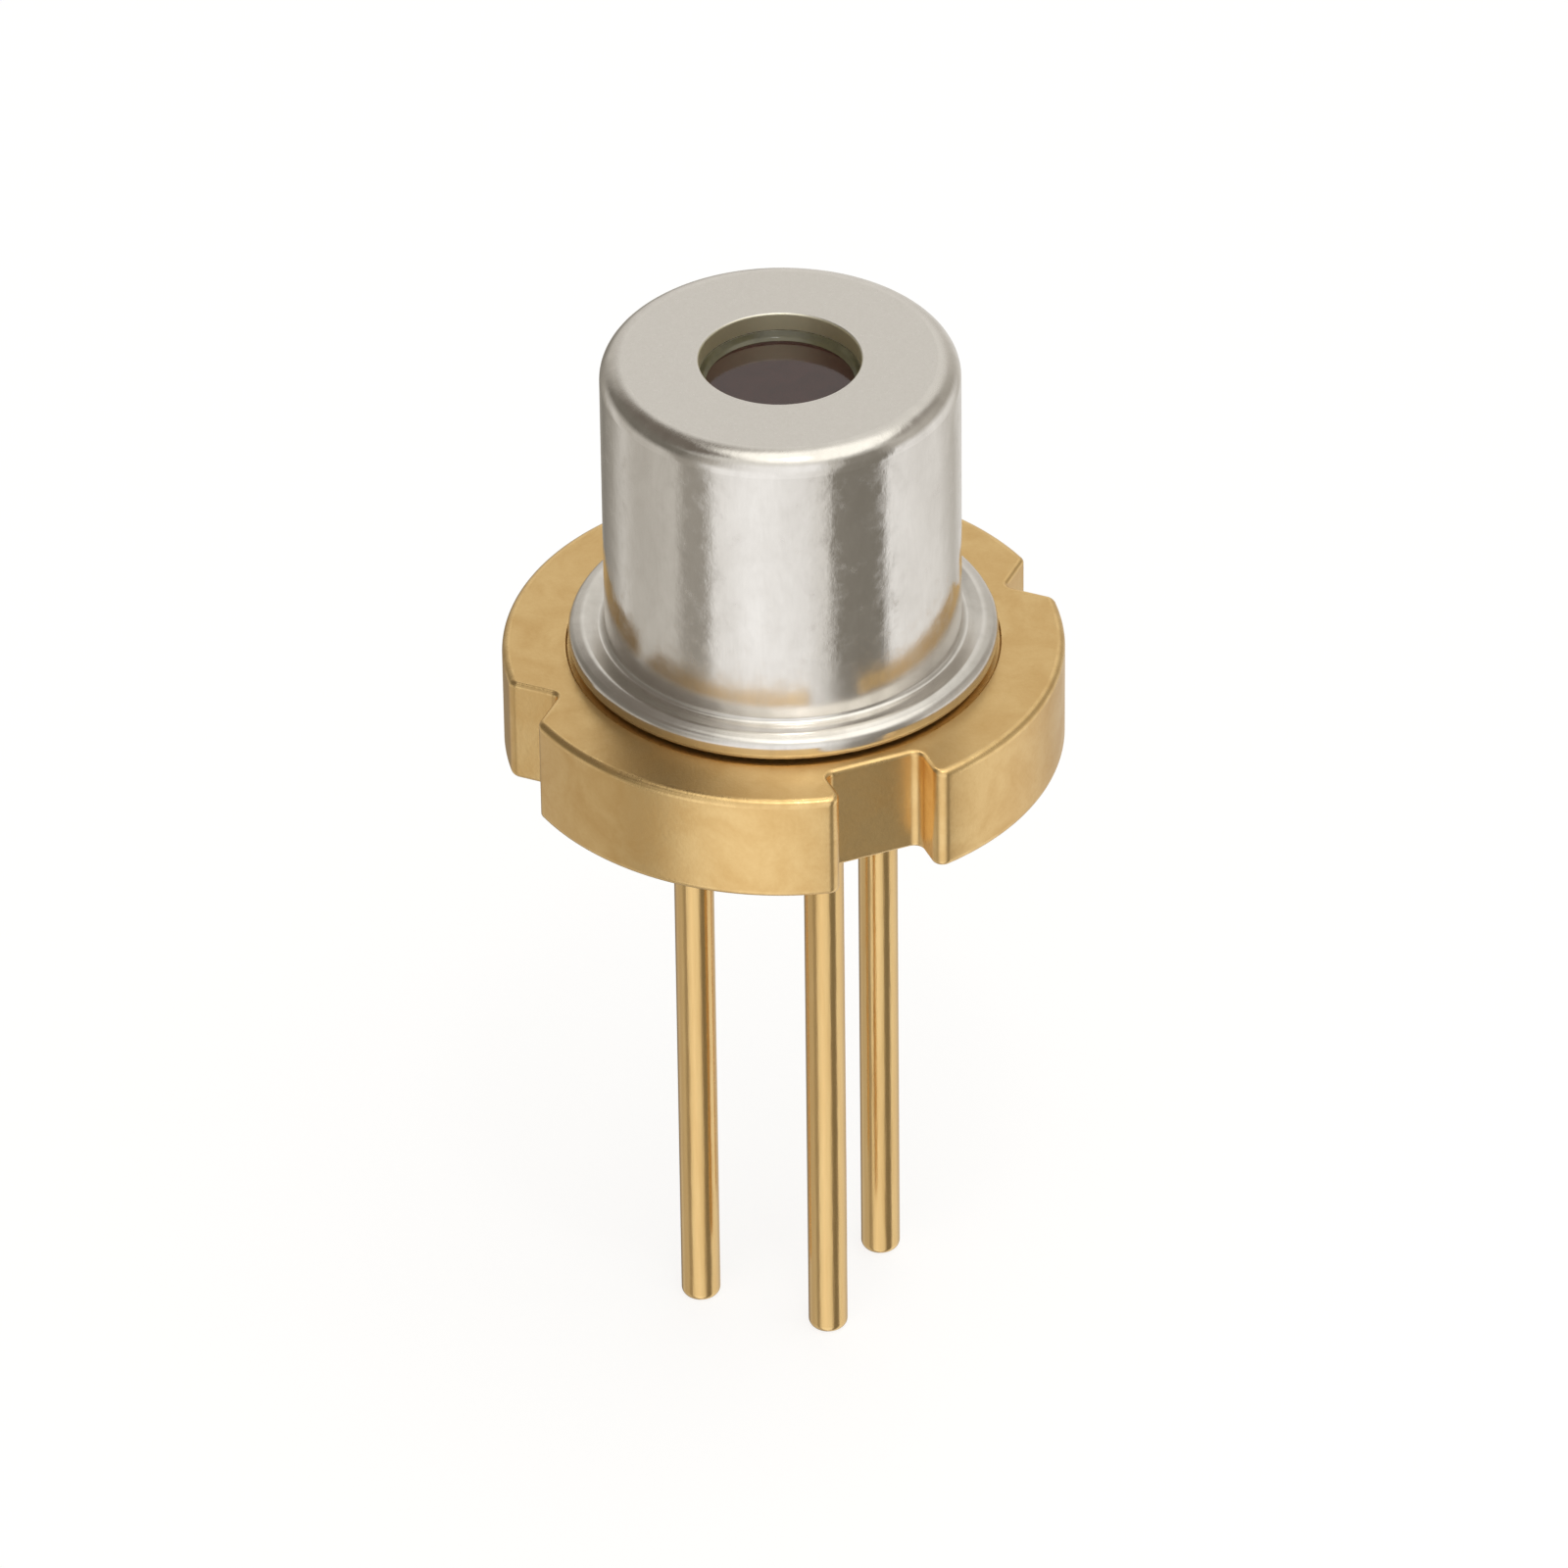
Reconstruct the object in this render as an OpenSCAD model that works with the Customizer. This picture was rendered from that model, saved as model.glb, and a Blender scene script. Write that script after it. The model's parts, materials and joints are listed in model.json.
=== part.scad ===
// Laser diode in a 5.6 mm window can, in millimetres.
// The origin is the centre of the stem's top face, which is the reference plane. +Z is the optical axis
// and points the way the light leaves. The two insulated leads lie on X, the ground lead on -Y.

/* [Stem] */
// Diameter of the stem's flange
flange_d = 5.6; // [5.2:0.1:6.4]
// Thickness of the flange
flange_t = 1.15; // [0.9:0.05:1.5]
// Rounding of the flange's upper and lower edge
flange_edge_r = 0.07; // [0.03:0.01:0.12]
// Depth of the two V-notches, measured to their sharp root
v_notch_depth = 0.4; // [0.3:0.02:0.46]
// Full angle of a V-notch
v_notch_angle = 90; // [70:5:100]
// Rounding at the root of a V-notch
v_notch_root_r = 0.08; // [0.04:0.01:0.12]
// Width of the rectangular index notch
key_notch_w = 1.0; // [0.6:0.05:1.2]
// Depth of the index notch
key_notch_depth = 0.51; // [0.3:0.01:0.55]
// Rounding of the index notch's inner corners
key_notch_root_r = 0.1; // [0.04:0.01:0.15]
// Rounding where a notch's wall meets the flange's rim
notch_rim_r = 0.12; // [0.04:0.01:0.16]
// Depth of the shallow ring in the stem that the cap is welded into
seat_depth = 0.03; // [0.02:0.005:0.06]
// Gap between the ring's outer wall and the cap's flange
seat_gap = 0.02; // [0.01:0.005:0.05]
// How far the ring runs inside the cap's bore
seat_inner_gap = 0.05; // [0.02:0.01:0.08]

/* [Leads] */
// Diameter of a lead
lead_d = 0.4; // [0.3:0.01:0.5]
// Free length of the leads below the flange
lead_l = 6.75; // [4:0.05:14]
// Diameter of the circle that the leads stand on
lead_circle_d = 2.0; // [1.9:0.05:2.1]
// Rounding of a lead's tip
lead_tip_r = 0.08; // [0.02:0.01:0.12]
// Diameter of the glass-filled eyelets
eyelet_d = 0.9; // [0.75:0.05:1]
// How far the glass lies below the stem's faces
seal_recess = 0.03; // [0.01:0.01:0.08]
// Depth of the socket that the ground lead is brazed into
ground_socket_depth = 0.1; // [0.05:0.01:0.14]
// Thickness of the braze at the ground lead's end
ground_braze_t = 0.02; // [0.01:0.005:0.04]
// Height of the laser lead's post above the reference plane
laser_post_h = 1.0; // [0.8:0.05:1.2]
// Depth of the bonding flat coined into the laser lead's post
bond_flat_depth = 0.05; // [0.02:0.01:0.08]
// Height of the bonding flat
bond_flat_h = 0.4; // [0.2:0.05:0.5]
// Height of the monitor lead's post above the reference plane
monitor_post_h = 0.35; // [0.25:0.05:0.5]

/* [Cap] */
// Outer diameter of the cap
cap_d = 3.55; // [3.5:0.05:3.7]
// Height of the cap's top above the reference plane
cap_h = 3.35; // [2.3:0.05:3.6]
// Wall of the cap's side
cap_wall = 0.2; // [0.12:0.01:0.22]
// Thickness of the cap's top
cap_top_t = 0.2; // [0.12:0.01:0.3]
// Outer rounding of the cap's top edge
cap_edge_r = 0.22; // [0.1:0.01:0.28]
// Inner rounding under the cap's top
cap_inner_r = 0.1; // [0.04:0.01:0.15]
// How far the cap's weld flange reaches beyond its side
rim_reach = 0.365; // [0.3:0.005:0.4]
// Thickness of the weld flange, whose edge is fully round
rim_t = 0.28; // [0.2:0.01:0.32]
// Fillet between the weld flange and the cap's side
rim_fillet_r = 0.12; // [0.06:0.01:0.15]
// Rounding at the cap's mouth
cap_mouth_r = 0.12; // [0.05:0.01:0.15]
// Width of the weld under the flange
weld_w = 0.12; // [0.08:0.01:0.16]
// Distance from the cap's side to the weld's middle
weld_reach = 0.085; // [0.07:0.005:0.12]

/* [Window] */
// Diameter of the aperture
aperture_d = 1.6; // [1:0.1:1.8]
// Thickness of the window
window_t = 0.3; // [0.2:0.01:0.4]
// Thickness of the sealing glass between the cap and the window
frit_t = 0.08; // [0.03:0.01:0.1]
// How far the sealing glass creeps into the aperture at the window
frit_creep = 0.07; // [0.02:0.01:0.1]
// Gap between the sealing glass and the cap's inner rounding
frit_gap = 0.025; // [0.01:0.005:0.05]
// Thickness of the sealing glass around the window's edge
frit_skirt_t = 0.15; // [0.05:0.01:0.2]
// How far the sealing glass runs down the window's edge
frit_skirt_h = 0.2; // [0.05:0.01:0.2]

/* [Heat sink] */
// Width of the copper block
block_w = 1.2; // [0.9:0.05:1.3]
// Gap between the block's round back and the cap's bore
block_gap = 0.175; // [0.1:0.005:0.3]
// Thickness of the braze under the block
block_braze_t = 0.015; // [0.01:0.005:0.03]
// How far the block's top lies below the laser's front facet
block_drop = 0.02; // [0.01:0.01:0.05]
// Width of the submount
submount_w = 0.7; // [0.5:0.05:0.8]
// Height of the submount
submount_h = 0.8; // [0.6:0.05:0.9]
// Thickness of the submount
submount_t = 0.2; // [0.12:0.01:0.25]
// How far the laser's front facet stands above the submount
facet_overhang = 0.01; // [0.005:0.005:0.015]
// Thickness of the solder under the submount and the laser chip
solder_t = 0.01; // [0.005:0.005:0.02]
// How far a solder layer lies inside the edge of the piece on it
solder_inset = 0.02; // [0.01:0.005:0.04]

/* [Laser chip] */
// Height of the laser's front facet above the reference plane
emission_h = 1.27; // [1.1:0.01:1.4]
// Width of the laser chip
chip_w = 0.25; // [0.2:0.01:0.3]
// Length of the laser chip along the beam
chip_l = 0.5; // [0.3:0.01:0.55]
// Thickness of the laser chip
chip_t = 0.1; // [0.08:0.01:0.14]
// Depth of the light-emitting layer under the chip's free face
junction_depth = 0.005; // [0.002:0.001:0.01]

/* [Monitor photodiode] */
// Side of the square photodiode
monitor_w = 0.5; // [0.3:0.05:0.55]
// Thickness of the photodiode
monitor_t = 0.2; // [0.12:0.01:0.25]
// Tilt of the photodiode, which keeps its reflection out of the laser
monitor_tilt = 10; // [5:1:15]
// Distance of the photodiode's middle in front of the optical axis
monitor_offset = 0.2; // [0.15:0.01:0.25]
// Depth of the photodiode's pocket at its middle
pocket_depth = 0.12; // [0.09:0.01:0.15]
// Gap around the photodiode in its pocket
pocket_gap = 0.1; // [0.05:0.01:0.12]

/* [Bond wires] */
// Diameter of the gold wire
wire_d = 0.025; // [0.02:0.005:0.04]
// Diameter of the bond at each end of a wire
bond_d = 0.07; // [0.06:0.005:0.09]
// Thickness of that bond
bond_t = 0.015; // [0.01:0.005:0.02]
// How far the laser wire's loop stands out
laser_loop = 0.35; // [0.2:0.05:0.5]
// How far the submount wire's loop stands out
submount_loop = 0.2; // [0.1:0.05:0.3]
// How far the photodiode wire's loop stands up
monitor_loop = 0.3; // [0.15:0.05:0.4]

/* [Hidden] */
$fn = 96;

gold = [0.80, 0.66, 0.42];
nickel = [0.82, 0.80, 0.77];
frit_olive = [0.42, 0.40, 0.30];
window_brown = [0.36, 0.29, 0.27];
seal_glass = [0.16, 0.17, 0.20];
braze_silver = [0.78, 0.76, 0.68];
bare_copper = [0.80, 0.52, 0.36];
ceramic = [0.86, 0.85, 0.80];
solder_grey = [0.66, 0.64, 0.58];
chip_grey = [0.24, 0.25, 0.30];
silicon_blue = [0.18, 0.22, 0.34];

over = 1; // how far a cutter reaches past what it cuts
arc_step = 11.25; // largest turn between two points of a notch's rounding
flange_r = flange_d / 2;
flange_bottom = -flange_t;
lead_r = lead_d / 2;
lead_circle_r = lead_circle_d / 2;
lead_bottom = flange_bottom - lead_l;
eyelet_r = eyelet_d / 2;

// cap
cap_r = cap_d / 2;
cap_in_r = cap_r - cap_wall;
cap_ceiling = cap_h - cap_top_t;
rim_r = cap_r + rim_reach;
rim_edge_r = rim_t / 2;
weld_mid_r = cap_r + weld_reach;
seat_out_r = rim_r + seat_gap;
seat_in_r = cap_in_r - seat_inner_gap;

// window
aperture_r = aperture_d / 2;
frit_in_r = aperture_r - frit_creep;
frit_out_r = cap_in_r - cap_inner_r - frit_gap;
window_r = frit_out_r - frit_skirt_t;
window_top = cap_ceiling - frit_t;

// stack of pieces on the block's front face: the light-emitting layer lies on the optical axis
chip_front = -junction_depth;
chip_back = chip_front + chip_t;
submount_front = chip_back + solder_t;
submount_back = submount_front + submount_t;
block_front = submount_back + solder_t;
block_r = cap_in_r - block_gap;
block_top = emission_h - block_drop;
submount_top = emission_h - facet_overhang;
submount_bottom = submount_top - submount_h;
chip_bottom = emission_h - chip_l;

// where the wires land
bond_r = bond_d / 2;
wire_r = wire_d / 2;
toward_front = [0, -1, 0];
toward_top = [0, 0, 1];
flat_y = -(lead_r - bond_flat_depth);
monitor_normal = [0, sin(monitor_tilt), cos(monitor_tilt)];
monitor_along = [0, cos(monitor_tilt), -sin(monitor_tilt)];
monitor_floor = [0, -monitor_offset, -pocket_depth];
monitor_top = monitor_floor + (solder_t + monitor_t) * monitor_normal;
laser_post_bond = [-lead_circle_r, flat_y, laser_post_h - bond_flat_h / 2];
chip_bond = [0, chip_front, emission_h - chip_l / 2];
submount_bond = [(chip_w + submount_w) / 4, submount_front, submount_top - submount_h / 4];
block_bond = [(submount_w + block_w) / 4, block_front, submount_top - submount_h / 4];
monitor_post_bond = [lead_circle_r, 0, monitor_post_h];
monitor_bond = monitor_top + [monitor_w / 3, 0, 0];

function unit(v) = v / norm(v);

// Point at share t of a cubic curve that leaves a along da and comes down on b against db
function curve_point(a, da, db, b, t) =
    pow(1 - t, 3) * a + 3 * t * pow(1 - t, 2) * (a + da) + 3 * t * t * (1 - t) * (b + db) + pow(t, 3) * b;

// Direction of that curve
function curve_way(a, da, db, b, t) =
    unit(pow(1 - t, 2) * da + 2 * t * (1 - t) * (b + db - a - da) - t * t * db);

// Points on an arc of radius r around c
function arc(c, r, from, to) =
    let (steps = ceil(abs(to - from) / arc_step))
    [for (i = [0 : steps]) let (a = from + (to - from) * i / steps) c + r * [cos(a), sin(a)]];

function direction(v) = atan2(v.y, v.x);

// Rounded corner between the rim and the wall that runs out through p along u, with the metal on the side n
function rim_corner(p, u, n) =
    let (
        q = p + notch_rim_r * n,
        b = q * u,
        c = q + (sqrt(b * b + pow(flange_r - notch_rim_r, 2) - q * q) - b) * u
    )
    concat(arc(c, notch_rim_r, direction(-n), direction(c)), [(flange_r + over) * unit(c)]);

// One side of a V-notch that opens along +X
function v_notch_side() =
    let (
        half = v_notch_angle / 2,
        root = flange_r - v_notch_depth,
        way = [cos(half), sin(half)]
    )
    concat(
        arc([root + v_notch_root_r / sin(half), 0], v_notch_root_r, 180, 90 + half),
        rim_corner([root, 0], way, [-way.y, way.x])
    );

// One side of the index notch, opening along +X
function key_notch_side() =
    let (half = key_notch_w / 2, back = flange_r - key_notch_depth)
    concat(
        arc([back, half] + key_notch_root_r * [1, -1], key_notch_root_r, 180, 90),
        rim_corner([back, half], [1, 0], [0, 1])
    );

// Cutter with the given side and its mirror image
module notch(side) {
    polygon(concat(side, [for (i = [len(side) - 1 : -1 : 0]) [side[i].x, -side[i].y]]));
}

// Revolve profile of a disc from z0 to z1 whose outer edges are rounded by r0 below and r1 above
module disc_profile(radius, z0, z1, r0, r1) {
    translate([0, z0 + r0]) square([radius, z1 - z0 - r0 - r1]);
    for (edge = [[z0, z0 + r0, r0], [z1 - r1, z1 - r1, r1]])
        if (edge[2] > 0) {
            translate([0, edge[0]]) square([radius - edge[2], edge[2]]);
            intersection() {
                translate([radius - edge[2], edge[1]]) circle(edge[2]);
                translate([0, edge[0]]) square([radius, edge[2]]);
            }
        }
}

module ring(outer, inner, z0, z1) {
    rotate_extrude() translate([inner, z0]) square([outer - inner, z1 - z0]);
}

// Puts a piece of the photodiode's stack onto the pocket's tilted floor
module on_pocket_floor() {
    translate(monitor_floor) rotate([-monitor_tilt, 0, 0]) children();
}

// Box centred on x and y that starts at height z
module pad(x, y, z, height) {
    translate([-x / 2, -y / 2, z]) cube([x, y, height]);
}

module stem_base() {
    color(gold)
    difference() {
        intersection() {
            rotate_extrude() disc_profile(flange_r, flange_bottom, 0, flange_edge_r, flange_edge_r);
            translate([0, 0, flange_bottom - over]) linear_extrude(flange_t + 2 * over) difference() {
                circle(flange_r + over);
                for (a = [0, 180]) rotate(a) notch(v_notch_side());
                rotate(-90) notch(key_notch_side());
            }
        }
        ring(seat_out_r, seat_in_r, -seat_depth, over);
        for (x = [-lead_circle_r, lead_circle_r])
            translate([x, 0, flange_bottom - over]) cylinder(h = flange_t + 2 * over, r = eyelet_r);
        translate([0, -lead_circle_r, flange_bottom - over]) cylinder(h = ground_socket_depth + over, r = lead_r);
        on_pocket_floor() pad(monitor_w + 2 * pocket_gap, monitor_w + 2 * pocket_gap, 0, over);
    }
}

// A lead from its rounded tip up to the height top
module lead(top) {
    rotate_extrude() disc_profile(lead_r, lead_bottom, top, lead_tip_r, 0);
}

module laser_lead() {
    color(gold)
    difference() {
        translate([-lead_circle_r, 0, 0]) lead(laser_post_h);
        translate([-lead_circle_r - lead_r, flat_y - over, laser_post_h - bond_flat_h])
            cube([lead_d, over, bond_flat_h + over]);
    }
}

module monitor_lead() {
    color(gold) translate([lead_circle_r, 0, 0]) lead(monitor_post_h);
}

module ground_lead() {
    color(gold) translate([0, -lead_circle_r, 0]) lead(flange_bottom + ground_socket_depth - ground_braze_t);
}

module ground_lead_braze() {
    color(braze_silver)
    translate([0, -lead_circle_r, flange_bottom + ground_socket_depth - ground_braze_t])
        cylinder(h = ground_braze_t, r = lead_r);
}

module seal() {
    color(seal_glass) ring(eyelet_r, lead_r, flange_bottom + seal_recess, -seal_recess);
}

module laser_lead_seal() {
    translate([-lead_circle_r, 0, 0]) seal();
}

module monitor_lead_seal() {
    translate([lead_circle_r, 0, 0]) seal();
}

module cap() {
    color(nickel)
    rotate_extrude() difference() {
        union() {
            disc_profile(cap_r, 0, cap_h, 0, cap_edge_r);
            square([rim_r - rim_edge_r, rim_t]);
            translate([rim_r - rim_edge_r, rim_edge_r]) circle(rim_edge_r);
            difference() {
                translate([0, rim_t]) square([cap_r + rim_fillet_r, rim_fillet_r]);
                translate([cap_r + rim_fillet_r, rim_t + rim_fillet_r]) circle(rim_fillet_r);
            }
        }
        translate([0, -over]) disc_profile(cap_in_r, 0, cap_ceiling + over, 0, cap_inner_r);
        difference() {
            translate([0, -over]) square([cap_in_r + cap_mouth_r, over + cap_mouth_r]);
            translate([cap_in_r + cap_mouth_r, cap_mouth_r]) circle(cap_mouth_r);
        }
        translate([0, cap_ceiling - over]) square([aperture_r, cap_top_t + 2 * over]);
    }
}

module cap_weld() {
    color(nickel) ring(weld_mid_r + weld_w / 2, weld_mid_r - weld_w / 2, -seat_depth, 0);
}

module window_glass() {
    color(window_brown) translate([0, 0, window_top - window_t]) cylinder(h = window_t, r = window_r);
}

// Sealing glass between window and cap, with its meniscus in the aperture and its skirt around the window
module window_frit() {
    color(frit_olive)
    rotate_extrude() polygon([
        [frit_in_r, window_top], [window_r, window_top], [window_r, window_top - frit_skirt_h],
        [frit_out_r, window_top - frit_skirt_h], [frit_out_r, cap_ceiling], [aperture_r, cap_ceiling]
    ]);
}

// Outline of the block seen from above: a flat front face and a round back that follows the cap
module block_outline() {
    intersection() {
        circle(block_r);
        translate([-block_w / 2, block_front]) square([block_w, block_r]);
    }
}

module heat_sink_block() {
    color(bare_copper)
    translate([0, 0, block_braze_t]) linear_extrude(block_top - block_braze_t) block_outline();
}

module heat_sink_braze() {
    color(braze_silver) linear_extrude(block_braze_t) block_outline();
}

module submount() {
    color(ceramic)
    translate([-submount_w / 2, submount_front, submount_bottom]) cube([submount_w, submount_t, submount_h]);
}

module submount_solder() {
    color(solder_grey)
    translate([-submount_w / 2 + solder_inset, submount_back, submount_bottom + solder_inset])
        cube([submount_w - 2 * solder_inset, solder_t, block_top - submount_bottom - 2 * solder_inset]);
}

module laser_chip() {
    color(chip_grey) translate([-chip_w / 2, chip_front, chip_bottom]) cube([chip_w, chip_t, chip_l]);
}

module chip_solder() {
    color(solder_grey)
    translate([-chip_w / 2 + solder_inset, chip_back, chip_bottom + solder_inset])
        cube([chip_w - 2 * solder_inset, solder_t, submount_top - chip_bottom - 2 * solder_inset]);
}

module monitor_photodiode() {
    color(silicon_blue) on_pocket_floor() pad(monitor_w, monitor_w, solder_t, monitor_t);
}

module photodiode_solder() {
    side = monitor_w - 2 * solder_inset;
    color(solder_grey) on_pocket_floor() pad(side, side, 0, solder_t);
}

// Gold wire from a, which it leaves along way_a, to b, which it leaves along way_b, with a flat bond on each
module bond_wire(a, way_a, b, way_b, loop) {
    steps = 14;
    sides = 8;
    from = a + bond_t * way_a;
    to = b + bond_t * way_b;
    reach = 4 / 3 * (loop - bond_t);
    across = unit(cross(way_a, b - a));
    middle = [for (i = [1 : steps - 1])
        let (t = i / steps)
        [
            curve_point(from, reach * way_a, reach * way_b, to, t),
            curve_way(from, reach * way_a, reach * way_b, to, t),
            wire_r
        ]];
    rings = concat(
        [[a, way_a, bond_r], [from, way_a, bond_r], [from, way_a, wire_r]],
        middle,
        [[to, -way_b, wire_r], [to, -way_b, bond_r], [b, -way_b, bond_r]]
    );
    points = [for (ring = rings, k = [0 : sides - 1])
        let (v = unit(cross(ring[1], across)), w = cross(ring[1], v), angle = 360 * k / sides)
        ring[0] + ring[2] * (cos(angle) * v + sin(angle) * w)];
    walls = [for (i = [0 : len(rings) - 2], k = [0 : sides - 1])
        let (next = (k + 1) % sides)
        [i * sides + k, (i + 1) * sides + k, (i + 1) * sides + next, i * sides + next]];
    last = (len(rings) - 1) * sides;
    ends = [[for (k = [0 : sides - 1]) k], [for (k = [sides - 1 : -1 : 0]) last + k]];
    color(gold) polyhedron(points, concat(walls, ends));
}

module laser_wire() {
    bond_wire(laser_post_bond, toward_front, chip_bond, toward_front, laser_loop);
}

module submount_wire() {
    bond_wire(submount_bond, toward_front, block_bond, toward_front, submount_loop);
}

module photodiode_wire() {
    bond_wire(monitor_post_bond, toward_top, monitor_bond, monitor_normal, monitor_loop);
}

stem_base();
cap();
cap_weld();
window_glass();
window_frit();
laser_lead();
monitor_lead();
ground_lead();
laser_lead_seal();
monitor_lead_seal();
ground_lead_braze();
heat_sink_block();
heat_sink_braze();
submount();
submount_solder();
laser_chip();
chip_solder();
monitor_photodiode();
photodiode_solder();
laser_wire();
submount_wire();
photodiode_wire();
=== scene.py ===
"""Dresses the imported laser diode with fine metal, glass and wire pieces, finishes and a plain studio."""

import json
import math

import bmesh
import bpy
from mathutils import Matrix, Vector


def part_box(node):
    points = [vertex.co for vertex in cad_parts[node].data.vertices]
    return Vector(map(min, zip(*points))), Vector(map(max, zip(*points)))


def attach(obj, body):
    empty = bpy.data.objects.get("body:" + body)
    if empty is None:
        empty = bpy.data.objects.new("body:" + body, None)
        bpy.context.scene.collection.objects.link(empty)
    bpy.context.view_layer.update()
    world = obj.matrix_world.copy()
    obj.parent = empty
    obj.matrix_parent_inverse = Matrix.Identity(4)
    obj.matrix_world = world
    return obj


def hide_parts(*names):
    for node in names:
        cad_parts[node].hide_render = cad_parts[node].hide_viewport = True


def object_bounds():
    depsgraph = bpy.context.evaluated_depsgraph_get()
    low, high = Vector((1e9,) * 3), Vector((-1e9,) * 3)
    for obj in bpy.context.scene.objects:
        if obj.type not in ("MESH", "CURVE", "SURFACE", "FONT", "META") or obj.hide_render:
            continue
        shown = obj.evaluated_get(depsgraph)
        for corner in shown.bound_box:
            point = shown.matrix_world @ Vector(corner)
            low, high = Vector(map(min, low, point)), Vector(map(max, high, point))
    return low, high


bl_info = {
    "name": "Laser Diode Dresser",
    "version": (1, 0, 0),
    "blender": (4, 5, 0),
    "location": "3D View > Sidebar > Laser Diode",
    "description": "Builds and finishes the pieces of a laser diode in a window can",
    "category": "Object",
}

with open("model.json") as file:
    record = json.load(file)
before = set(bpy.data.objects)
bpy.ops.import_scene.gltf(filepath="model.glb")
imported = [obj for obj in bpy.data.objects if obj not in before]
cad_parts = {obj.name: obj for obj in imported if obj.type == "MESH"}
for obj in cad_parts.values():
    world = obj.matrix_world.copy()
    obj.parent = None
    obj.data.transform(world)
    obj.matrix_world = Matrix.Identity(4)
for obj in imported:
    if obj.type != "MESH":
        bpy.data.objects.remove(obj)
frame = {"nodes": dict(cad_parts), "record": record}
CAD_BOX = [list(corner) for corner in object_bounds()]
MM = 0.001
PER_MM = 1000.0
HOLD = 0.012  # how far beside a rounding the flat is held, in millimetres
CORE = 0.1  # radius of the circle that a turned piece's outline runs around, in millimetres
DOUBLE = 0.0002  # points of a turned piece that lie closer than this are one, in millimetres
EDGE_STEPS = 7  # steps over the rounding of the stem's edges
CORNER_STEPS = 14  # steps over the rounding where a notch meets the rim
RIM_STEP = 1.2  # degrees between two points of the rim
DIODE_TILT = math.radians(10.0)
SUNK = 0.002  # how far the braze fillet sinks into what it joins, in millimetres
POCKET_OFFSET = 0.2  # from the optical axis to the middle of the photodiode's pocket, in millimetres
POCKET_DEPTH = 0.12
POCKET_HALF = 0.35


def mount_size(name, key):
    """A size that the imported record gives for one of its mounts, in metres."""
    for mount in frame["record"]["mounts"]:
        if mount["name"] == name:
            return mount["dims"][key] * MM
    raise RuntimeError(f"The record has no mount named {name}")


STEM_LOW, STEM_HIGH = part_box("stem_base")
CAP_LOW, CAP_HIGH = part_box("cap")
GLASS_LOW, GLASS_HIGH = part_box("window_glass")
FRIT_LOW, FRIT_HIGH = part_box("window_frit")
SEAL_LOW, SEAL_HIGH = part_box("laser_lead_seal")
LEAD_LOW, LEAD_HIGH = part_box("ground_lead")
LEAD_R = mount_size("ground_lead", "r_mm")


# ---------------------------------------------------------------- properties


def length(name, description, default):
    """A length that a user may change."""
    return bpy.props.FloatProperty(
        name=name, description=description, default=default, min=0.0, unit="LENGTH", precision=6
    )


def angle(name, description, degrees):
    """An angle that a user may change."""
    return bpy.props.FloatProperty(
        name=name, description=description, default=math.radians(degrees), subtype="ANGLE"
    )


def colour(name, description, default):
    """A finish's colour, in linear light."""
    return bpy.props.FloatVectorProperty(
        name=name, description=description, default=default, subtype="COLOR", min=0.0, max=1.0
    )


class StemSizes(bpy.types.PropertyGroup):
    """Sizes of the gold-plated stem."""

    radius: length("Radius", "Radius of the flange", mount_size("flange", "r_mm"))
    thickness: length("Thickness", "Thickness of the flange", -STEM_LOW.z)
    edge: length("Edge", "Rounding of the flange's edges", 0.07 * MM)
    notch_edge: length("Notch edge", "Rounding of the notches' edges", 0.045 * MM)
    v_depth: length("V depth", "Depth of a V-notch to its sharp root", 0.4 * MM)
    v_root: length("V root", "Rounding at the root of a V-notch", 0.08 * MM)
    key_width: length("Key width", "Width of the index notch", 1.0 * MM)
    key_depth: length("Key depth", "Depth of the index notch", 0.51 * MM)
    key_root: length("Key root", "Rounding of the index notch's inner corners", 0.1 * MM)
    rim_corner: length("Rim corner", "Rounding where a notch meets the rim", 0.12 * MM)
    seat_out: length("Seat outside", "Outer radius of the ring that the cap stands in", 2.16 * MM)
    seat_in: length("Seat inside", "Inner radius of that ring", 1.525 * MM)
    seat_depth: length("Seat depth", "Depth of that ring", 0.03 * MM)
    eyelet: length("Eyelet", "Radius of a glass-filled eyelet", SEAL_HIGH.y)
    socket_depth: length("Socket depth", "Depth of the ground lead's socket", 0.1 * MM)


class LeadSizes(bpy.types.PropertyGroup):
    """Sizes of the leads and of what holds them."""

    radius: length("Radius", "Radius of a lead", LEAD_R)
    circle: length("Circle", "Radius of the circle that the leads stand on", 1.0 * MM)
    tip: length("Tip", "Rounding of a lead's tip", 0.08 * MM)
    flat_height: length("Flat height", "Height of the bonding flat on the laser post", 0.4 * MM)
    flat_depth: length("Flat depth", "Depth of that bonding flat", 0.05 * MM)
    meniscus: length("Meniscus", "How far the sealing glass climbs at its walls", 0.025 * MM)
    braze_reach: length("Braze reach", "How far the braze spreads around the ground lead", 0.09 * MM)
    wire: length("Bond wire", "Radius of the gold bond wires", 0.0125 * MM)
    bond: length("Bond", "Radius of a wire's flattened bond", 0.035 * MM)
    bond_height: length("Bond height", "Thickness of a wire's bond", 0.015 * MM)


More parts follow.
